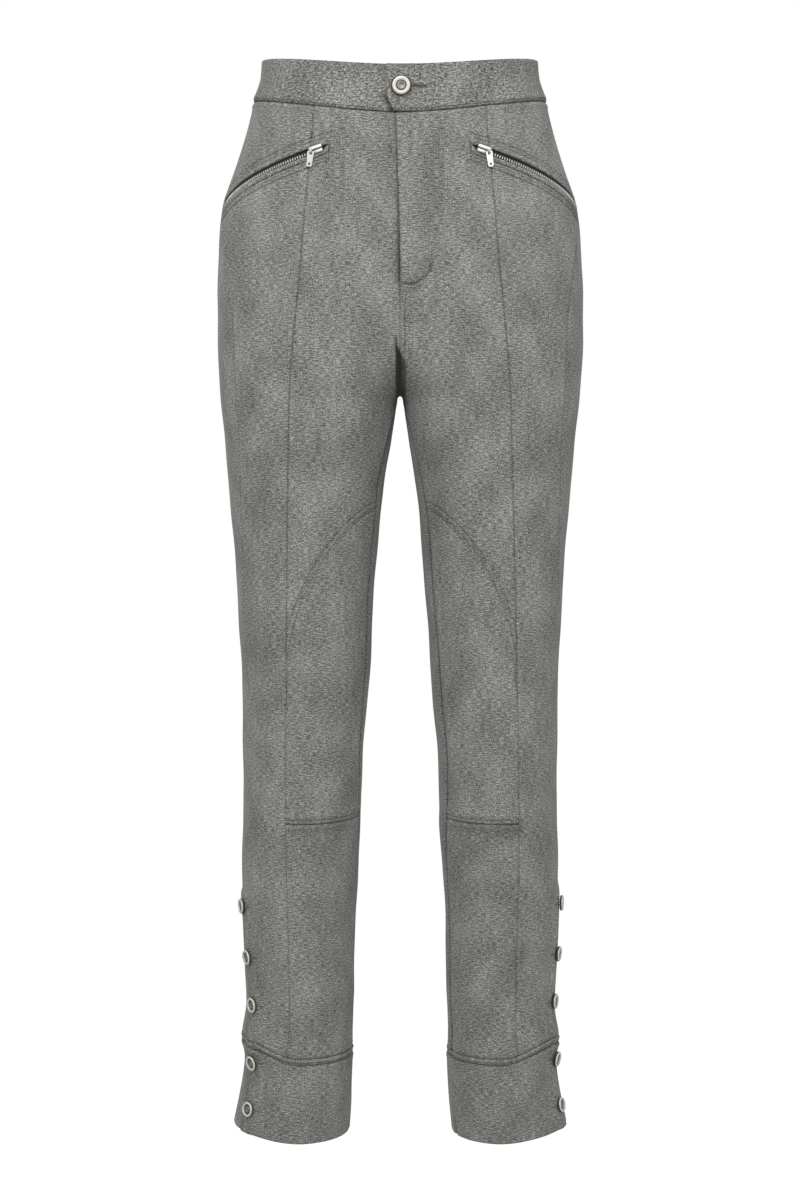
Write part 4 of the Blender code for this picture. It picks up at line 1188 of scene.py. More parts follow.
def back(side, label):
    """One back, from the waistband over the seat to the cuff."""
    inner = inner_shares(42)
    columns = len(inner) + 2 * len(EDGE)
    top = waist_seam(back_across(np.full((1, columns), BAND_LEVEL), side, inner)[0]) - TOUCH
    foot = cuff_seam(back_across(np.full((1, columns), CUFF_LEVEL), side, inner)[0])
    upper = down(top, np.full(columns, FORK), inner_shares(54), below=EDGE[:1])
    near = [np.full(columns, FORK - step) for step in (0.6, 1.5, 3.0, 5.0, 8.0)]
    lower = down(np.full(columns, FORK - 12.0), foot + TOUCH, inner_shares(118), above=EDGE[:1])
    height = np.concatenate([upper, near, lower])
    along = back_across(height, side, inner)
    line = FORM.side(height, side)
    stop = FORM.ring(height) + inseam(height, side)
    opened, leg = opened_at(height), on_leg(height)
    relief = upright_seam(along, line, SIDE_SEAM_STRENGTH) * (1 - opened)
    relief += seam_relief(top - height) + seam_relief(height - foot) + cuff_rows_relief(height - foot)
    relief += seam_relief(stop - along) * (1 - leg) + seam_relief(stop - along, **INSEAM_SHAPE) * leg
    relief -= tucked(along - line) * opened
    relief += row_relief(stop - along - SEAT_ROW) * smoothstep((height - FORK - 2.0) / 10.0)
    cloth(f"back_{label}", along, height, side, relief, middle=height > FORK - 0.1)


def cuff_across(height, side):
    """Places round the cuff: from its back end round the back, the inseam and the front to the lap's end."""
    line = FORM.side(height, side)
    start = line - FORM.ring(height) + TOUCH
    return between(start, line + PLACKET_LAP, shares_across(CUFF_WIDTH, inner_shares(72)))


def cuff(side, label):
    """One cuff, its ends lapped below the opening."""
    nominal = cuff_across(np.full((1, 1), CUFF_LEVEL), side)[0]
    top, foot = cuff_seam(nominal), hem_line(nominal)
    height = down(top - TOUCH, foot, inner_shares(12))
    along = cuff_across(height, side)
    line = FORM.side(height, side)
    relief = seam_relief(top - height) - 0.6 * bell(height - foot, 0.7)
    relief += upright_seam(along, inseam(height, side)) + lap_relief(along - line)
    relief -= tucked(along - line + FORM.ring(height))
    # Each cuff gets 0.08 more painted shade all over, so it reads darker than the shin.
    cloth(f"cuff_{label}", along, height, side, relief, raised=lap_raised(along - line), painted_shade=0.08)


for side, label in SIDES:
    back(side, label)
    cuff(side, label)
print("backs and cuffs: %d pieces so far" % len(CLOTH_PIECES))

# %% [markdown]
# ## Waistband
#
# The waistband is a doubled strip, so it is thicker and stiffer than the rest. Its end on the wearer's left
# lies over the other one. It is built as two halves of one grid that meet at the centre back.

# %% Waistband
def lap_end(height):
    """How far past the middle the lapping end reaches: less towards its foot, where it meets the fly."""
    return BAND_LAP - 6.8 * smoothstep((-22.0 - height) / 20.0)


def waistband_half(side, start):
    """Places, heights, relief and raise of one half, from its end in front to the centre back."""
    ring = float(FORM.ring(BAND_LEVEL))
    nominal = np.concatenate([start + EDGE, np.linspace(start + EDGE[-1], ring, 76)[1:]])
    foot, top = waist_seam(np.abs(nominal)), waist_edge(np.abs(nominal))
    height = down(top, foot + TOUCH, inner_shares(8))[::-1]
    nominal = np.broadcast_to(nominal, height.shape)
    scale = FORM.ring(height) / ring
    along = nominal * (1 + (scale - 1) * smoothstep((nominal - 8.0) / 14.0))
    raised = BAND_RAISED
    low = 0.15 + 0.85 * smoothstep((between(foot, top, 0.60) - height) / 14.0)
    relief = seam_relief(height - foot) - 0.7 * bell(top - height, 0.9) - bell(nominal - start, 0.9) * low
    relief += 0.30 * bell(height - between(foot, top, 0.5), 9.0) + row_relief(height - foot - BAND_ROW)
    if side > 0:
        along = along + (BAND_LAP - lap_end(height)) * np.clip(1 - (nominal - start) / 40.0, 0, 1)
        raised = BAND_RAISED + BAND_LAP_RAISED * smoothstep((28.0 - along) / 26.0)
    else:
        relief -= 1.3 * bell(nominal - lap_end(height) - 1.0, 3.0) * low
    return along, height, relief, raised


def waistband():
    """Joins the two halves, the second one turned round so that the columns run on."""
    halves = []
    for side, start in ((1, -BAND_LAP), (-1, BAND_UNDERLAP)):
        along, height, relief, raised = waistband_half(side, start)
        outer, inner, dark = soft_cloth(along, height, side, raised, relief, BAND_CLOTH, 0.0)
        past_back = 0.0 if side > 0 else 2 * float(FORM.ring(BAND_LEVEL))
        chart = np.stack([side * along + past_back, height], axis=-1)
        cut = slice(None) if side > 0 else slice(-2, None, -1)
        halves.append([grid[:, cut] for grid in (outer, inner, chart, dark)])
    grids = [np.concatenate(pair, axis=1) for pair in zip(*halves)]
    add_wall("waistband", *grids, side=-1)


waistband()
print("cut pieces of cloth:", len(CLOTH_PIECES))

# %% [markdown]
# ## Knit, thread and metal
#
# A finish is a tree of shader nodes. The helper below adds one node at a time: its settings are given by
# name, and each of its inputs gets a value or the output of another node.

# %% Shader nodes
def plug(tree, socket, value):
    """Gives an input the output of another node, or a value of its own."""
    if isinstance(value, bpy.types.NodeSocket):
        tree.links.new(value, socket)
    else:
        socket.default_value = value


def add_node(tree, kind, inputs=(), **settings):
    """A node with its settings by attribute and its inputs by name or number."""
    made = tree.nodes.new(kind)
    for name, value in settings.items():
        setattr(made, name, value)
    for name, value in dict(inputs).items():
        plug(tree, made.inputs[name], value)
    return made


def new_material(name, colour, roughness, metallic=0.0):
    """A material with its tree and its Principled shader."""
    made = bpy.data.materials.new(name)
    made.use_nodes = True
    tree = made.node_tree
    shader = tree.nodes["Principled BSDF"]
    plug(tree, shader.inputs["Base Color"], (*colour, 1.0))
    plug(tree, shader.inputs["Roughness"], roughness)
    plug(tree, shader.inputs["Metallic"], metallic)
    return made, tree, shader


def bumped(tree, shader, height, strength, distance):
    """Lifts the surface by a height that nodes work out."""
    settings = {"Height": height, "Strength": strength, "Distance": distance}
    plug(tree, shader.inputs["Normal"], add_node(tree, "ShaderNodeBump", settings).outputs["Normal"])


print("shader nodes of Blender", bpy.app.version_string)

# %% [markdown]
# ### The marl
#
# The knit is a marl: light and charcoal fibres twisted into one yarn, so its loops change from pale to
# dark every millimetre or two. Three noises follow the cloth's own map: one for loops, one stretched
# sideways for the streaks of a yarn that stays dark over several loops, and a slow one that clouds them.
# Their sum also lifts the surface, and the shade kept in the mesh darkens the seams.

# %% The marl
MARL_CLOUD = (34.0, 46.0)
MARL_SHARES = dict(loop=0.47, streak=0.40, cloud=0.13)
MARL_STOPS = (
    (0.385, (0.048, 0.047, 0.044)),
    (0.475, (0.160, 0.158, 0.148)),
    (0.535, (0.268, 0.265, 0.246)),
    (0.630, (0.500, 0.493, 0.462)),
)
SHADE_COLOUR = (0.05, 0.05, 0.048, 1.0)


def noise_on(tree, source, grain):
    """Noise whose grains are as wide and as tall as `grain` says, in millimetres on the cloth."""
    scale = (1.0 / (grain[0] * MM), 1.0 / (grain[1] * MM), 1.0)
    sized = add_node(tree, "ShaderNodeVectorMath", {0: source, 1: scale}, operation="MULTIPLY")
    inputs = {"Vector": sized.outputs[0], "Scale": 1.0, "Detail": 2.0}
    return add_node(tree, "ShaderNodeTexNoise", inputs).outputs["Fac"]


def marl_ramp(tree, total, tone):
    """The marl's colours from dark to pale, all made lighter or darker by its tone."""
    ramp = add_node(tree, "ShaderNodeValToRGB", {"Fac": total})
    stops = ramp.color_ramp.elements
    stops.remove(stops[0])
    stops[0].position = MARL_STOPS[0][0]
    for number, (place, colour) in enumerate(MARL_STOPS):
        stop = stops.new(place) if number else stops[0]
        stop.color = (*(tone * value for value in colour), 1.0)
    return ramp.outputs["Color"]


def marl_group(name, loop, streak, tone):
    """A node group that gives a marl's colour and height, by the sizes of loop and streak and its tone."""
    group = bpy.data.node_groups.new(name, "ShaderNodeTree")
    group.interface.new_socket("Color", in_out="OUTPUT", socket_type="NodeSocketColor")
    group.interface.new_socket("Height", in_out="OUTPUT", socket_type="NodeSocketFloat")
    cloth_map = add_node(group, "ShaderNodeUVMap", uv_map="cloth").outputs["UV"]
    total = 0.0
    for grain, share in zip((loop, streak, MARL_CLOUD), MARL_SHARES.values()):
        inputs = {0: noise_on(group, cloth_map, grain), 1: share, 2: total}
        total = add_node(group, "ShaderNodeMath", inputs, operation="MULTIPLY_ADD").outputs[0]
    darken = add_node(group, "ShaderNodeMix", data_type="RGBA", blend_type="MULTIPLY")
    sockets = {socket.identifier: socket for socket in (*darken.inputs, *darken.outputs)}
    shade = add_node(group, "ShaderNodeAttribute", attribute_name="shade")
    plug(group, sockets["Factor_Float"], shade.outputs["Fac"])
    plug(group, sockets["A_Color"], marl_ramp(group, total, tone))
    plug(group, sockets["B_Color"], SHADE_COLOUR)
    add_node(group, "NodeGroupOutput", {"Color": sockets["Result_Color"], "Height": total})
    return group


def knit_material(name, group, bump):
    """A marl knit: soft, dull, and lifted by its own loops."""
    made, tree, shader = new_material(name, (0.216, 0.213, 0.200), 0.92)
    marl = add_node(tree, "ShaderNodeGroup", node_tree=group)
    plug(tree, shader.inputs["Specular IOR Level"], 0.2)
    plug(tree, shader.inputs["Sheen Weight"], 0.12)
    plug(tree, shader.inputs["Sheen Roughness"], 0.6)
    plug(tree, shader.inputs["Base Color"], marl.outputs["Color"])
    bumped(tree, shader, marl.outputs["Height"], bump, 0.6 * MM)
    return made


BODY_KNIT = knit_material("grey marl knit", marl_group("marl", (1.3, 1.0), (4.8, 0.9), 0.96), 0.6)
BAND_KNIT = knit_material("waistband knit", marl_group("coarse marl", (1.7, 1.35), (4.0, 1.4), 0.86), 0.7)
print("node groups:", [group.name for group in bpy.data.node_groups])

# %% [markdown]
# ### Thread, tape and metal
#
# The other finishes are one plain colour each, with a fine grain in roughness and surface, as thread, woven
# tape, cast buttons and stamped zip metal have it. The grain is read from the object's own space.

# %% Grained finishes
GRAIN_IN_ROUGHNESS = 0.08


def grained(name, colour, roughness, metallic, size, depth):
    """A plain colour with a grain; its size and depth are millimetres."""
    made, tree, shader = new_material(name, colour, roughness, metallic)
    place = add_node(tree, "ShaderNodeTexCoord").outputs["Object"]
    inputs = {"Vector": place, "Scale": 1.0 / (size * MM), "Detail": 3.0}
    grain = add_node(tree, "ShaderNodeTexNoise", inputs).outputs["Fac"]
    low, high = max(roughness - GRAIN_IN_ROUGHNESS, 0.0), min(roughness + GRAIN_IN_ROUGHNESS, 1.0)
    ranged = add_node(tree, "ShaderNodeMapRange", {"Value": grain, "To Min": low, "To Max": high})
    plug(tree, shader.inputs["Roughness"], ranged.outputs["Result"])
    bumped(tree, shader, grain, 0.4, depth * MM)
    return made


THREAD = grained("dark grey thread", (0.055, 0.054, 0.050), 0.75, 0.0, 0.5, 0.10)
# Near black: the zip tape's colour, and painted shade in the pocket slits and buttonhole slits.
TAPE_AND_SLIT_SHADE = grained("black zip tape and painted slit shade", (0.012, 0.012, 0.013), 0.85, 0.0, 0.7, 0.20)
STEEL = grained("bright zip metal", (0.66, 0.66, 0.64), 0.40, 1.0, 1.5, 0.12)
TEETH = grained("dull zip metal", (0.36, 0.36, 0.35), 0.45, 1.0, 1.0, 0.05)
BUTTON_METAL = grained("pale button metal", (0.58, 0.567, 0.515), 0.5, 0.25, 1.2, 0.10)
BUTTON_CENTRE = grained("dark middle button metal", (0.20, 0.195, 0.172), 0.48, 1.0, 0.9, 0.10)
# Near black: painted shadow round each button's ring and painted shade in each slider's groove.
PAINTED_SHADE_BLACK = grained("painted shade black", (0.022, 0.021, 0.019), 0.55, 0.0, 1.0, 0.03)
print("materials:", [made.name for made in bpy.data.materials])

# %% [markdown]
# ## The cut pieces in the scene
#
# Each cut piece takes the place of its plain solid. A tailor would also want its size before sewing, so the
# table gives the width and length of the rectangle that it is cut from and the share of it that it fills.

# %% Cut pieces
# Each row is piece, width and length in metres, share.
FLAT = [
    ("front", 0.125, 0.550, 0.62),
    ("hip_yoke", 0.118, 0.085, 0.82),
    ("side_panel", 0.100, 0.850, 0.71),
    ("knee_patch", 0.095, 0.297, 0.83),
    ("shin", 0.092, 0.240, 0.97),
    ("back", 0.320, 0.913, 0.86),
    ("cuff", 0.384, 0.088, 0.90),
    ("pocket_welt", 0.142, 0.012, 0.64),
    ("zip_tape", 0.142, 0.012, 0.78),
    ("waistband", 0.761, 0.045, 0.93),
]
FINISHES = {"zip_tape": TAPE_AND_SLIT_SHADE, "waistband": BAND_KNIT}


def place_cloth(name, finish):
    """Puts one cut piece in the scene in place of its solid."""
    piece = new_piece(f"{name}_cloth", CLOTH_PIECES[name], finish)
    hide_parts(name)


for piece_name, width, length, share in FLAT:
    finish = FINISHES.get(piece_name, BODY_KNIT)
    for name in [name for name in CLOTH_PIECES if name.startswith(piece_name)]:
        place_cloth(name, finish)
print("cut pieces placed:", len(CLOTH_PIECES))

# %% [markdown]
# ## Stitching
#
# Seams in a stretchy knit are topstitched in pairs, in thread a little darker than the cloth. A row of
# stitching is one small bead repeated along a line. The line is given on the form, and each stitch is then
# dropped on to the cloth that lies there. Buttonholes are made of the same beads, placed closer together.

# %% Beads on the cloth
STITCH_PITCH = 2.7
STITCH = dict(length=2.1, width=0.75, height=0.42)
DROP_FROM = 14.0
DROP_LENGTH = 22.0
BEAD_RING = ((1, 0), (0, 1), (-1, 0), (0, -1))
BEAD_SHAPE = np.array([(-1, 0, 0), *((-0.6, a, b) for a, b in BEAD_RING),
                       *((0.6, a, b) for a, b in BEAD_RING), (1, 0, 0)])
BEAD_FACES = [
    (0, 2, 1, 1), (0, 3, 2, 2), (0, 4, 3, 3), (0, 1, 4, 4),
    (1, 2, 6, 5), (2, 3, 7, 6), (3, 4, 8, 7), (4, 1, 5, 8),
    (9, 5, 6, 6), (9, 6, 7, 7), (9, 7, 8, 8), (9, 8, 5, 5),
]


def copies(shape, middle, ahead, aside, up):
    """Points of a small shape, again at each place and turned to the three directions there."""
    axes = np.stack([ahead, aside, up], axis=1)
    return (middle[:, None, :] + np.einsum("sa,nax->nsx", shape, axes)).reshape(-1, 3)


def repeated(faces, size, count):
    """Faces of a small shape of `size` points, again for each of its copies."""
    return (np.asarray(faces)[None] + size * np.arange(count)[:, None, None]).reshape(-1, 4)


def beads(point, out, size):
    """Little four-sided spindles along a line of points, lying on the cloth."""
    ahead = unit(np.gradient(point, axis=0))
    aside = unit(np.cross(out, ahead))
    up = np.cross(ahead, aside)
    half = np.array([size["length"], size["width"], size["height"]]) / 2
    return copies(BEAD_SHAPE * half, point + up * 0.4 * half[2], ahead, aside, up)


def cloth_tree(names):
    """The right and wrong sides of some cut pieces, ready to be met by a line."""
    points, faces, start = [], [], 0
    for name in names:
        mesh = CLOTH_PIECES[name]
        places = np.empty(len(mesh.vertices) * 3)
        mesh.vertices.foreach_get("co", places)
        corners = np.empty(len(mesh.loops), dtype=np.int32)
        mesh.loops.foreach_get("vertex_index", corners)
        points.append(places.reshape(-1, 3))
        faces.append(corners.reshape(-1, 4) + start)
        start += len(mesh.vertices)
    return BVHTree.FromPolygons(np.concatenate(points).tolist(), np.concatenate(faces).tolist())


def dropped(tree, point, out, side):
    """Where a line from outside first meets the cloth; places where there is none are left out."""
    mirror = np.array([side, 1.0, 1.0])
    found, outward_there = [], []
    for place, away in zip(point * mirror * MM, out * mirror):
        start = Vector(place + away * DROP_FROM * MM)
        hit, normal, _, _ = tree.ray_cast(start, Vector(-away), DROP_LENGTH * MM)
        if hit is not None:
            found.append(hit)
            outward_there.append(normal if normal.dot(Vector(away)) > 0 else Vector(away))
    return np.array(found) / MM, np.array(outward_there)


def bead_piece(name, side, on, lines, size, finish):
    """A piece of beads, one where each place of these lines meets the cut pieces `on`; returns how many."""
    tree = cloth_tree(on)
    points = np.concatenate([beads(*dropped(tree, point, out, side), size) for point, out in lines])
    count = len(points) // len(BEAD_SHAPE)
    faces = repeated(BEAD_FACES, len(BEAD_SHAPE), count)
    new_piece(name, new_mesh(name, points, faces, sharp=None), finish)
    return count


def even_steps(along, height):
    """Points at equal steps along a line on the form, with the outward direction at each."""
    point, _ = FORM.place(along, height)
    run = np.concatenate([[0.0], np.cumsum(np.linalg.norm(np.diff(point, axis=0), axis=1))])
    steps = np.linspace(0.0, run[-1], max(int(run[-1] / STITCH_PITCH), 1) + 1)
    return FORM.place(np.interp(steps, run, along), np.interp(steps, run, height))


def stitch(name, side, paths, on):
    """Sews rows along `paths`, each a line of places along the ring and heights, on to the pieces `on`."""
    lines = [even_steps(along, height) for along, height in paths]
    return bead_piece(name, side, on, lines, STITCH, THREAD)


print("points of one stitch:", len(BEAD_SHAPE))

# %% [markdown]
# The lines themselves: each is a seam moved over by a few millimetres, so the rows stay beside their seam
# wherever it goes.

# %% Where the rows run
def pocket_rows(side):
    """Two rows over the slit and two under the welt, the outer ones joined by an upright row at its end."""
    rows = []
    for above, below, end in zip(LIP_ROWS, WELT_ROWS, POCKET_ROW_ENDS):
        before = POCKET_END + end
        for line, offset in ((lip, above), (pocket_foot, -below)):
            end_height = crossing(line, 1.0, side) + offset
            past = np.linspace(before, pocket_width(end_height, side) - 2.0, 60)
            height = line(past) + offset
            rows.append((FORM.long(height, side) + past, height))
        if end < 0:
            upright = np.linspace(lip(before) + above, pocket_foot(before) - below, 12)
            rows.append((FORM.long(upright, side) + before, upright))
    return rows


def patch_rows(side):
    """Two rows above the patch's slanting seam, moved off it square to its slope."""
    share = np.linspace(0.04, 0.965, 80)
    line = patch_seam(share)
    along = between(inseam(line, side), FORM.long(line, side), share)
    slope = np.gradient(line, along)
    tilt = np.sqrt(1 + slope ** 2)
    return [(along - away * slope / tilt, line + away / tilt) for away in PATCH_ROWS]


def knee_rows(side):
    """One row above the knee's level seam."""
    level = KNEE + KNEE_ROW
    return [(np.linspace(inseam(level, side), FORM.long(level, side), 40), np.full(40, level))]


def cuff_rows(side):
    """Two rows above the cuff's seam, from the back's end of the opening round to the lap's end."""
    line = FORM.side(CUFF_LEVEL, side)
    along = np.linspace(line - FORM.ring(CUFF_LEVEL) + PLACKET_LAP + 1.0, line + PLACKET_LAP - 1.0, 140)
    return [(along, cuff_seam(along) + offset) for offset in CUFF_ROWS]


def placket_rows(side):
    """One row up the lap at the ankle."""
    rise = np.linspace(PLACKET_TOP - 4.0, -912.0, 60)
    return [(FORM.side(rise, side) + PLACKET_LAP - LAP_ROW, rise)]


def seat_rows(side):
    """One row beside the seam in the middle of the seat."""
    rise = np.linspace(-60.0, FORK + 8.0, 80)
    return [(FORM.ring(rise) - SEAT_ROW, rise)]


ROWS = [
    ("pocket", pocket_rows, ("front", "hip_yoke", "side_panel", "pocket_welt")),
    ("knee_patch", patch_rows, ("front",)),
    ("knee", knee_rows, ("knee_patch",)),
    ("cuff", cuff_rows, ("shin", "side_panel", "back")),
    ("placket", placket_rows, ("side_panel",)),
    ("seat", seat_rows, ("back",)),
]
sewn = 0
for side, label in SIDES:
    for place, find_rows, on in ROWS:
        names = [f"{name}_{label}" for name in on]
        sewn += stitch(f"{place}_stitching_{label}", side, find_rows(side), names)
below_fly = np.linspace(FLY_BOTTOM - 16.0, SEAT_ROW_END, 40)
sewn += stitch("fly_stitching", 1, [FLY_STITCH.T, (np.full(40, SEAT_ROW), below_fly)], ["front_left"])
for (side, label), start in zip(SIDES, (LAP_ROW - BAND_LAP, 16.0)):
    along = np.linspace(start, FORM.ring(BAND_LEVEL), 160)
    band = [(along, waist_seam(np.abs(along)) + BAND_ROW)]
    sewn += stitch(f"waistband_stitching_{label}", side, band, ["waistband"])
print("stitches:", sewn)

# %% [markdown]
# ## Buttons
#
# Buttons are turned, so each is a profile spun round an axis: a round rim, a groove and a sunken dark
# middle. A button sits on the form with its axis straight out, as deep as its plain solid does.

# %% Turned shapes and their seats
def seat(along, height, side):
    """A frame on the form: X level, which in front is to the wearer's left, and Z straight out."""
    point, out = FORM.place(along, height)
    z = Vector(out * (side, 1.0, 1.0))
    up = Vector((0.0, 0.0, 1.0))
    y = (up - z * up.dot(z)).normalized()
    made = Matrix((y.cross(z), y, z)).transposed().to_4x4()
    made.translation = Vector(point * (side, 1.0, 1.0)) * MM
    return made


def moved(points, place):
    """Points in millimetres taken by a frame into the garment's space, still in millimetres."""
    return points @ np.array(place.to_3x3()).T + np.array(place.translation) / MM


def turned_faces(rows, turns, looped=False):
    """Faces of a turned shape: its last ring of points meets its first one, or both are filled flat."""
    sides = grid_faces(rows, turns, around=True, looped=looped)[:, ::-1]
    if looped:
        return sides
    start = np.arange(1, turns - 1, 2)
    flat = np.stack([0 * start, start, start + 1, start + 2], axis=-1)
    return np.concatenate([sides, flat[:, ::-1], flat + (rows - 1) * turns])


def spun(profile, turns=48):
    """A profile of (radius, height) turned round Z; one that ends where it starts makes a ring."""
    angle = np.linspace(0, 2 * math.pi, turns, endpoint=False)
    looped = profile[0] == profile[-1]
    profile = np.array(profile[:-1] if looped else profile)
    radius, rise = profile[:, :1], profile[:, 1:]
    points = np.stack([radius * np.cos(angle), radius * np.sin(angle), rise + 0 * angle], axis=-1)
    return points.reshape(-1, 3), turned_faces(len(profile), turns, looped)


print("faces of a ring of 8 by 48 points:", len(turned_faces(8, 48, looped=True)))

# %% [markdown]
# Profiles are shares of the button's radius and thickness, from its middle outwards or once round the rim.

# %% Buttons
BUTTON_BASE = [(0.02, 0.06), (0.80, 0.06), (0.94, 0.16), (1.00, 0.34), (0.99, 0.56), (0.94, 0.68),
               (0.84, 0.70), (0.60, 0.56), (0.02, 0.54)]
WIDE_RING = [(0.50, 0.60), (0.51, 0.80), (0.57, 0.93), (0.66, 1.00), (0.77, 0.98), (0.85, 0.88),
             (0.885, 0.74), (0.875, 0.62), (0.50, 0.60)]
NARROW_RING = [(0.65, 0.60), (0.66, 0.80), (0.71, 0.94), (0.78, 1.00), (0.87, 0.97), (0.93, 0.87),
               (0.96, 0.74), (0.95, 0.62), (0.65, 0.60)]
PLAIN_DISC = [(0.01, 0.56), (0.40, 0.57), (0.44, 0.66), (0.41, 0.76), (0.31, 0.79), (0.27, 0.71),
              (0.01, 0.70)]
WAIST_BUTTON_PAST = 1.1
WAIST_BUTTON_THICKNESS = 4.0
LEG_BUTTON_THICKNESS = 3.4


def node_seat(node, along, height, side):
    """The seat of a button whose foot lies where its plain solid has it."""
    made = seat(along, height, side)
    out = made.to_3x3() @ Vector((0, 0, 1))
    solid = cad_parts[node]
    corners = [solid.matrix_world @ corner.co for corner in solid.data.vertices]
    base = min((corner - made.translation).dot(out) for corner in corners)
    made.translation += out * base
    return made


def button(node, radius, thickness, place, ring):
    """A dark base, its rim painted shadow, a pale ring and a plain dark disc, each turned from its profile.
    """
    layers = [
        ("base", BUTTON_BASE, PAINTED_SHADE_BLACK),
        ("ring", ring, BUTTON_METAL),
        ("disc", PLAIN_DISC, BUTTON_CENTRE),
    ]
    for suffix, profile, finish in layers:
        points, faces = spun([(r * radius, h * thickness) for r, h in profile])
        name = f"{node}_{suffix}"
        piece = new_piece(name, new_mesh(name, moved(points, place), faces), finish)
        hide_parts(node)


for side, label in SIDES:
    for number, height in enumerate(LEG_BUTTON_HEIGHTS, 1):
        name = f"leg_button_{label}_{number}"
        place = node_seat(name, FORM.side(height, side) + LEG_BUTTON_PAST, height, side)
        button(name, LEG_BUTTON_RADIUS, LEG_BUTTON_THICKNESS, place, NARROW_RING)
place = node_seat("waist_button", WAIST_BUTTON_PAST, WAIST_BUTTON_HEIGHT, 1)
button("waist_button", WAIST_BUTTON_RADIUS, WAIST_BUTTON_THICKNESS, place, WIDE_RING)
print("buttons:", 2 * len(LEG_BUTTON_HEIGHTS) + 1)

# %% [markdown]
# ## Zip teeth
#
# The teeth are short rounded bars of metal across the slit, sunk between its lip and the welt. Each is a
# six-sided section at four places along its length, repeated at equal steps along the line below the lip.

# %% Zip teeth
TEETH_START, TEETH_STOP = 6.0, 3.0
SLIT_SIDE_LEVEL = -118.0
TOOTH_PITCH = 2.4
TOOTH_SIZE = (1.3, 2.8, 0.9)
TOOTH_BELOW_LIP = 4.6
TOOTH_SUNK = 0.9
TOOTH_SECTION = ((-0.5, -0.5), (-0.5, 0.2), (-0.25, 0.5), (0.25, 0.5), (0.5, 0.2), (0.5, -0.5))
TOOTH_ENDS = ((-0.5, 0.72), (-0.42, 1.0), (0.42, 1.0), (0.5, 0.72))
TOOTH_SHAPE = np.array([(a * size, end, b * size) for end, size in TOOTH_ENDS for a, b in TOOTH_SECTION])
TOOTH_CAPS = [(0, 1, 2, 3), (0, 3, 4, 5), (21, 20, 19, 18), (23, 22, 21, 18)]
TOOTH_FACES = np.concatenate([grid_faces(len(TOOTH_ENDS), len(TOOTH_SECTION), around=True), TOOTH_CAPS])


def zip_teeth(side, label):
    """One row of teeth, from the slit's end to the side seam; returns their number."""
    stop = pocket_width(SLIT_SIDE_LEVEL, side) - TEETH_STOP
    past = np.arange(POCKET_END + TEETH_START, stop, TOOTH_PITCH)
    height = lip(past) - TOOTH_BELOW_LIP
    seam = FORM.long(height, side)
    point, out = FORM.place(seam + past, height)
    before, _ = FORM.place(seam + past - 1.0, lip(past - 1.0) - TOOTH_BELOW_LIP)
    ahead = unit(point - before)
    points = copies(TOOTH_SHAPE * TOOTH_SIZE, point - out * TOOTH_SUNK, ahead, np.cross(out, ahead), out)
    faces = repeated(TOOTH_FACES, len(TOOTH_SHAPE), len(past))
    name = f"zip_teeth_{label}"
    mesh = new_mesh(name, points * (side, 1.0, 1.0), faces if side > 0 else faces[:, ::-1], sharp=40.0)
    new_piece(name, mesh, TEETH)
    return len(past)


print("zip teeth:", sum(zip_teeth(side, label) for side, label in SIDES))

# %% [markdown]
# ## Sliders
#
# A slider's face has a bright tongue and a bright cheek with a dark groove between them. Each is a bar with
# blunt round ends, laid on the front of the plain slider, which stays in view with its own metal.

# %% Sliders
SLIDER_AT = -6.0
SLIDER_LEVEL = -72.0
SLIDER_BELOW_LIP = 3.3
SLIDER_TOP = 1.7
SLIDER_TILT = math.atan(0.30)
# Each row is part, ahead, up, length, width, high, finish.
SLIDER_BARS = [
    ("tongue", 0.0, 1.9, 12.6, 3.4, 2.0, STEEL),
    ("cheek", -2.7, -2.1, 7.4, 3.0, 1.8, STEEL),
    # The groove is a near-black bar: painted shade between tongue and cheek.
    ("groove", -1.6, 0.0, 9.4, 1.5, 1.0, PAINTED_SHADE_BLACK),
]


def rounded_bar(length, width, high, turns=20, steps=16):
    """A bar with blunt round ends: each of its rings is an ellipse that shrinks by (1 - share^4)^(1/4)."""
    share = np.sin(np.linspace(-0.499, 0.499, steps) * math.pi)[:, None]
    angle = np.linspace(0, 2 * math.pi, turns, endpoint=False)
    size = (1 - share ** 4) ** 0.25
    x = share * length / 2 + 0 * angle
    points = np.stack([x, size * np.cos(angle) * width / 2, size * np.sin(angle) * high / 2], axis=-1)
    return points.reshape(-1, 3), turned_faces(steps, turns)


def dress_slider(side, label):
    """Three bars on the front of one slider, and metal on its plain solids."""
    place = seat(FORM.long(SLIDER_LEVEL, side) + SLIDER_AT, lip(SLIDER_AT) - SLIDER_BELOW_LIP, side)
    place = place @ Matrix.Rotation(-side * SLIDER_TILT, 4, "Z")
    for part, ahead, up, length, width, high, finish in SLIDER_BARS:
        points, faces = rounded_bar(length, width, high)
        points = moved(points + (side * ahead, up, SLIDER_TOP), place)
        name = f"slider_{part}_{label}"
        new_piece(name, new_mesh(name, points, faces), finish)
    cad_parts[f"zip_slider_{label}"].material_slots[0].material = TEETH
    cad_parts[f"zip_pull_{label}"].material_slots[0].material = STEEL


for side, label in SIDES:
    dress_slider(side, label)
print("bars on the sliders:", 2 * len(SLIDER_BARS))

# %% [markdown]
# ## Buttonholes
#
# A buttonhole is a narrow slit between two rows of close stitches; its opening is a row of near-black beads,
# painted shade. At the ankle only the slit's end looks out from under each button, towards the front.

# %% Buttonholes
HOLE = (10.0, 24.0)
HOLE_EDGE = 0.9
LEG_HOLE = (-10.6, -6.0)
HOLE_STITCH = dict(length=0.7, width=1.0, height=0.3)
WAIST_SLIT = dict(length=1.7, width=0.5, height=0.16)
LEG_SLIT = dict(length=1.5, width=0.7, height=0.2)


def level_line(ends, height, count):
    """Points and outward directions along a level line on the form."""
    return FORM.place(np.linspace(*ends, count), np.full(count, height))


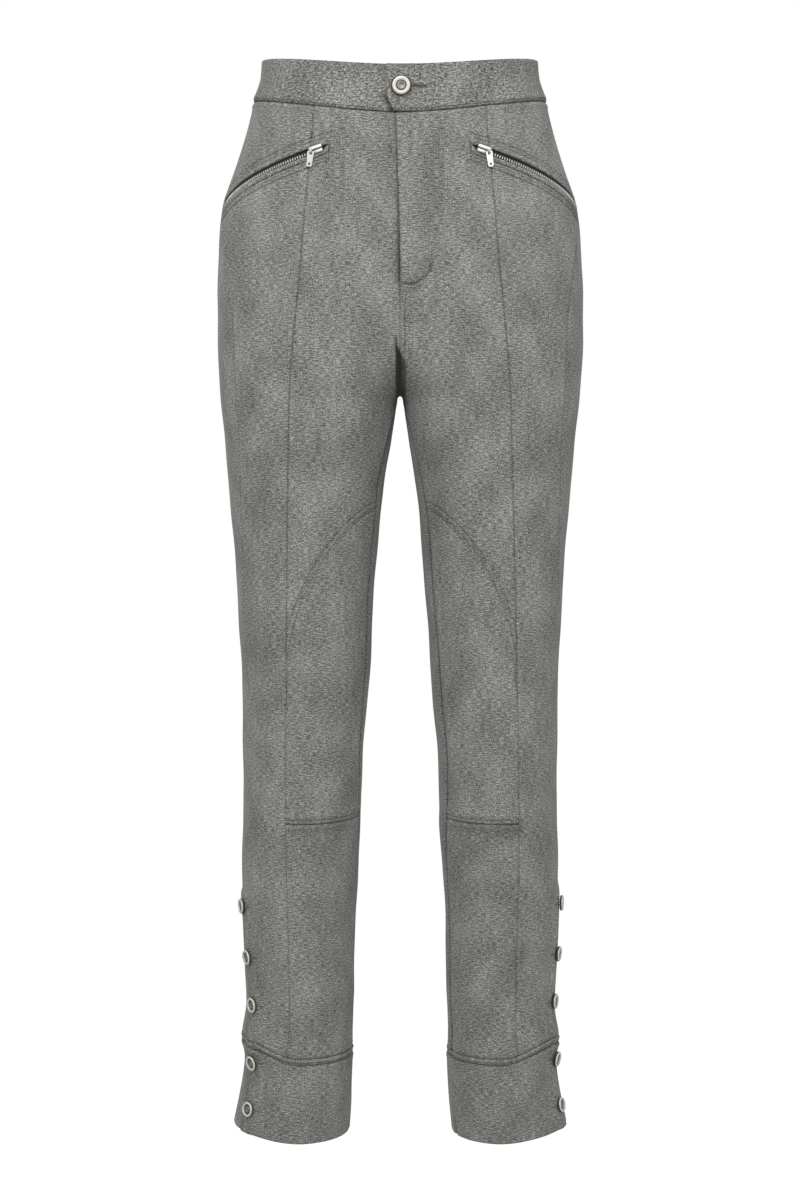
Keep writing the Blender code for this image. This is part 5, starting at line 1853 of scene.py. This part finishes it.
edges = [level_line(HOLE, WAIST_BUTTON_HEIGHT + rise, 22) for rise in (-HOLE_EDGE, HOLE_EDGE)]
bead_piece("buttonhole_stitching", 1, ["waistband"], edges, HOLE_STITCH, THREAD)
slit = level_line(HOLE, WAIST_BUTTON_HEIGHT, 15)
bead_piece("buttonhole_slit_shade", 1, ["waistband"], [slit], WAIST_SLIT, TAPE_AND_SLIT_SHADE)
for side, label in SIDES:
    slits = []
    for height in LEG_BUTTON_HEIGHTS:
        middle = FORM.side(height, side) + LEG_BUTTON_PAST
        slits.append(level_line([middle + end for end in LEG_HOLE], height, 6))
    on = [f"side_panel_{label}", f"cuff_{label}"]
    bead_piece(f"leg_buttonhole_shade_{label}", side, on, slits, LEG_SLIT, TAPE_AND_SLIT_SHADE)
print("buttonholes:", 1 + 2 * len(LEG_BUTTON_HEIGHTS))

# %% [markdown]
# ## Floor and sky
#
# The garment hangs over a pale floor in even light, as a shop would show it. The floor and the sky look
# white to the camera, and the sky does in metal too, while they light the cloth gently.

# %% Floor and sky
WHITE = (1.0, 1.0, 1.0, 1.0)
FLOOR_HEIGHT = -1.35
FLOOR_GLOW = 1.22
FLOOR_SHARE = 0.75
SKY_STRENGTH = 0.38


def mix_shaders(tree, share, plain, bright, output):
    """Shows the bright shader instead of the plain one by this share."""
    mixed = add_node(tree, "ShaderNodeMixShader", {"Fac": share, 1: plain, 2: bright})
    plug(tree, tree.nodes[output].inputs["Surface"], mixed.outputs["Shader"])


def pale_floor():
    """A floor that glows for the camera but keeps the garment's shadow."""
    bpy.ops.mesh.primitive_plane_add(size=30.0, location=(0.0, 0.0, FLOOR_HEIGHT))
    floor = bpy.context.object
    floor.name = "floor"
    made, tree, shader = new_material("pale floor", (0.86, 0.86, 0.86), 0.9)
    glow = add_node(tree, "ShaderNodeEmission", {"Color": WHITE, "Strength": FLOOR_GLOW})
    seen = add_node(tree, "ShaderNodeLightPath").outputs["Is Camera Ray"]
    share = add_node(tree, "ShaderNodeMath", {0: seen, 1: FLOOR_SHARE}, operation="MULTIPLY")
    mix_shaders(tree, share.outputs[0], shader.outputs["BSDF"], glow.outputs["Emission"], "Material Output")
    floor.data.materials.append(made)


def white_world():
    """A soft sky, seen as plain white by the camera and in mirrors and glass."""
    world = bpy.data.worlds.new("studio")
    bpy.context.scene.world = world
    world.use_nodes = True
    tree = world.node_tree
    soft = tree.nodes["Background"]
    plug(tree, soft.inputs["Color"], WHITE)
    plug(tree, soft.inputs["Strength"], SKY_STRENGTH)
    white = add_node(tree, "ShaderNodeBackground", {"Color": WHITE})
    seen = add_node(tree, "ShaderNodeLightPath").outputs
    share = seen["Is Camera Ray"]
    for ray in ("Is Glossy Ray", "Is Transmission Ray"):
        share = add_node(tree, "ShaderNodeMath", {0: share, 1: seen[ray]}, operation="MAXIMUM").outputs[0]
    mix_shaders(tree, share, soft.outputs["Background"], white.outputs["Background"], "World Output")


pale_floor()
white_world()
print("floor at %.2f m, sky %.2f" % (FLOOR_HEIGHT, SKY_STRENGTH))

# %% [markdown]
# ## Lamps and camera
#
# There are three large soft lamps: a key in front, a fill from the other side and a weak one from above.
# The camera looks slightly down through a long lens.

# %% Lamps and camera
# Each row is name, place, aim and size in metres, power in watts.
LIGHTS = [
    ("key", (-0.6, -1.9, 1.15), (0, 0, -0.35), 1.2, 34.0),
    ("fill", (1.5, -2.1, 0.7), (0, 0, -0.4), 1.5, 16.0),
    ("top", (0.0, -0.3, 1.6), (0, 0, -0.4), 1.2, 12.0),
]
CAMERA_PLACE = (0.0, -2.6, -0.235)
CAMERA_DOWN = math.radians(5.63)
CAMERA_LENS = 82.1

for name, place, aim, size, power in LIGHTS:
    lamp = bpy.data.lights.new(name, "AREA")
    lamp.size = size
    lamp.energy = power
    item = bpy.data.objects.new(name, lamp)
    item.location = place
    item.rotation_euler = (Vector(aim) - Vector(place)).to_track_quat("-Z", "Y").to_euler()
    bpy.context.scene.collection.objects.link(item)

lens = bpy.data.cameras.new("camera")
lens.lens = CAMERA_LENS
camera = bpy.data.objects.new("camera", lens)
camera.location = CAMERA_PLACE
camera.rotation_euler = (math.pi / 2 - CAMERA_DOWN, 0.0, 0.0)
bpy.context.scene.collection.objects.link(camera)
bpy.context.scene.camera = camera
bpy.context.scene.view_settings.view_transform = "Standard"
print("lamps:", [row[0] for row in LIGHTS])
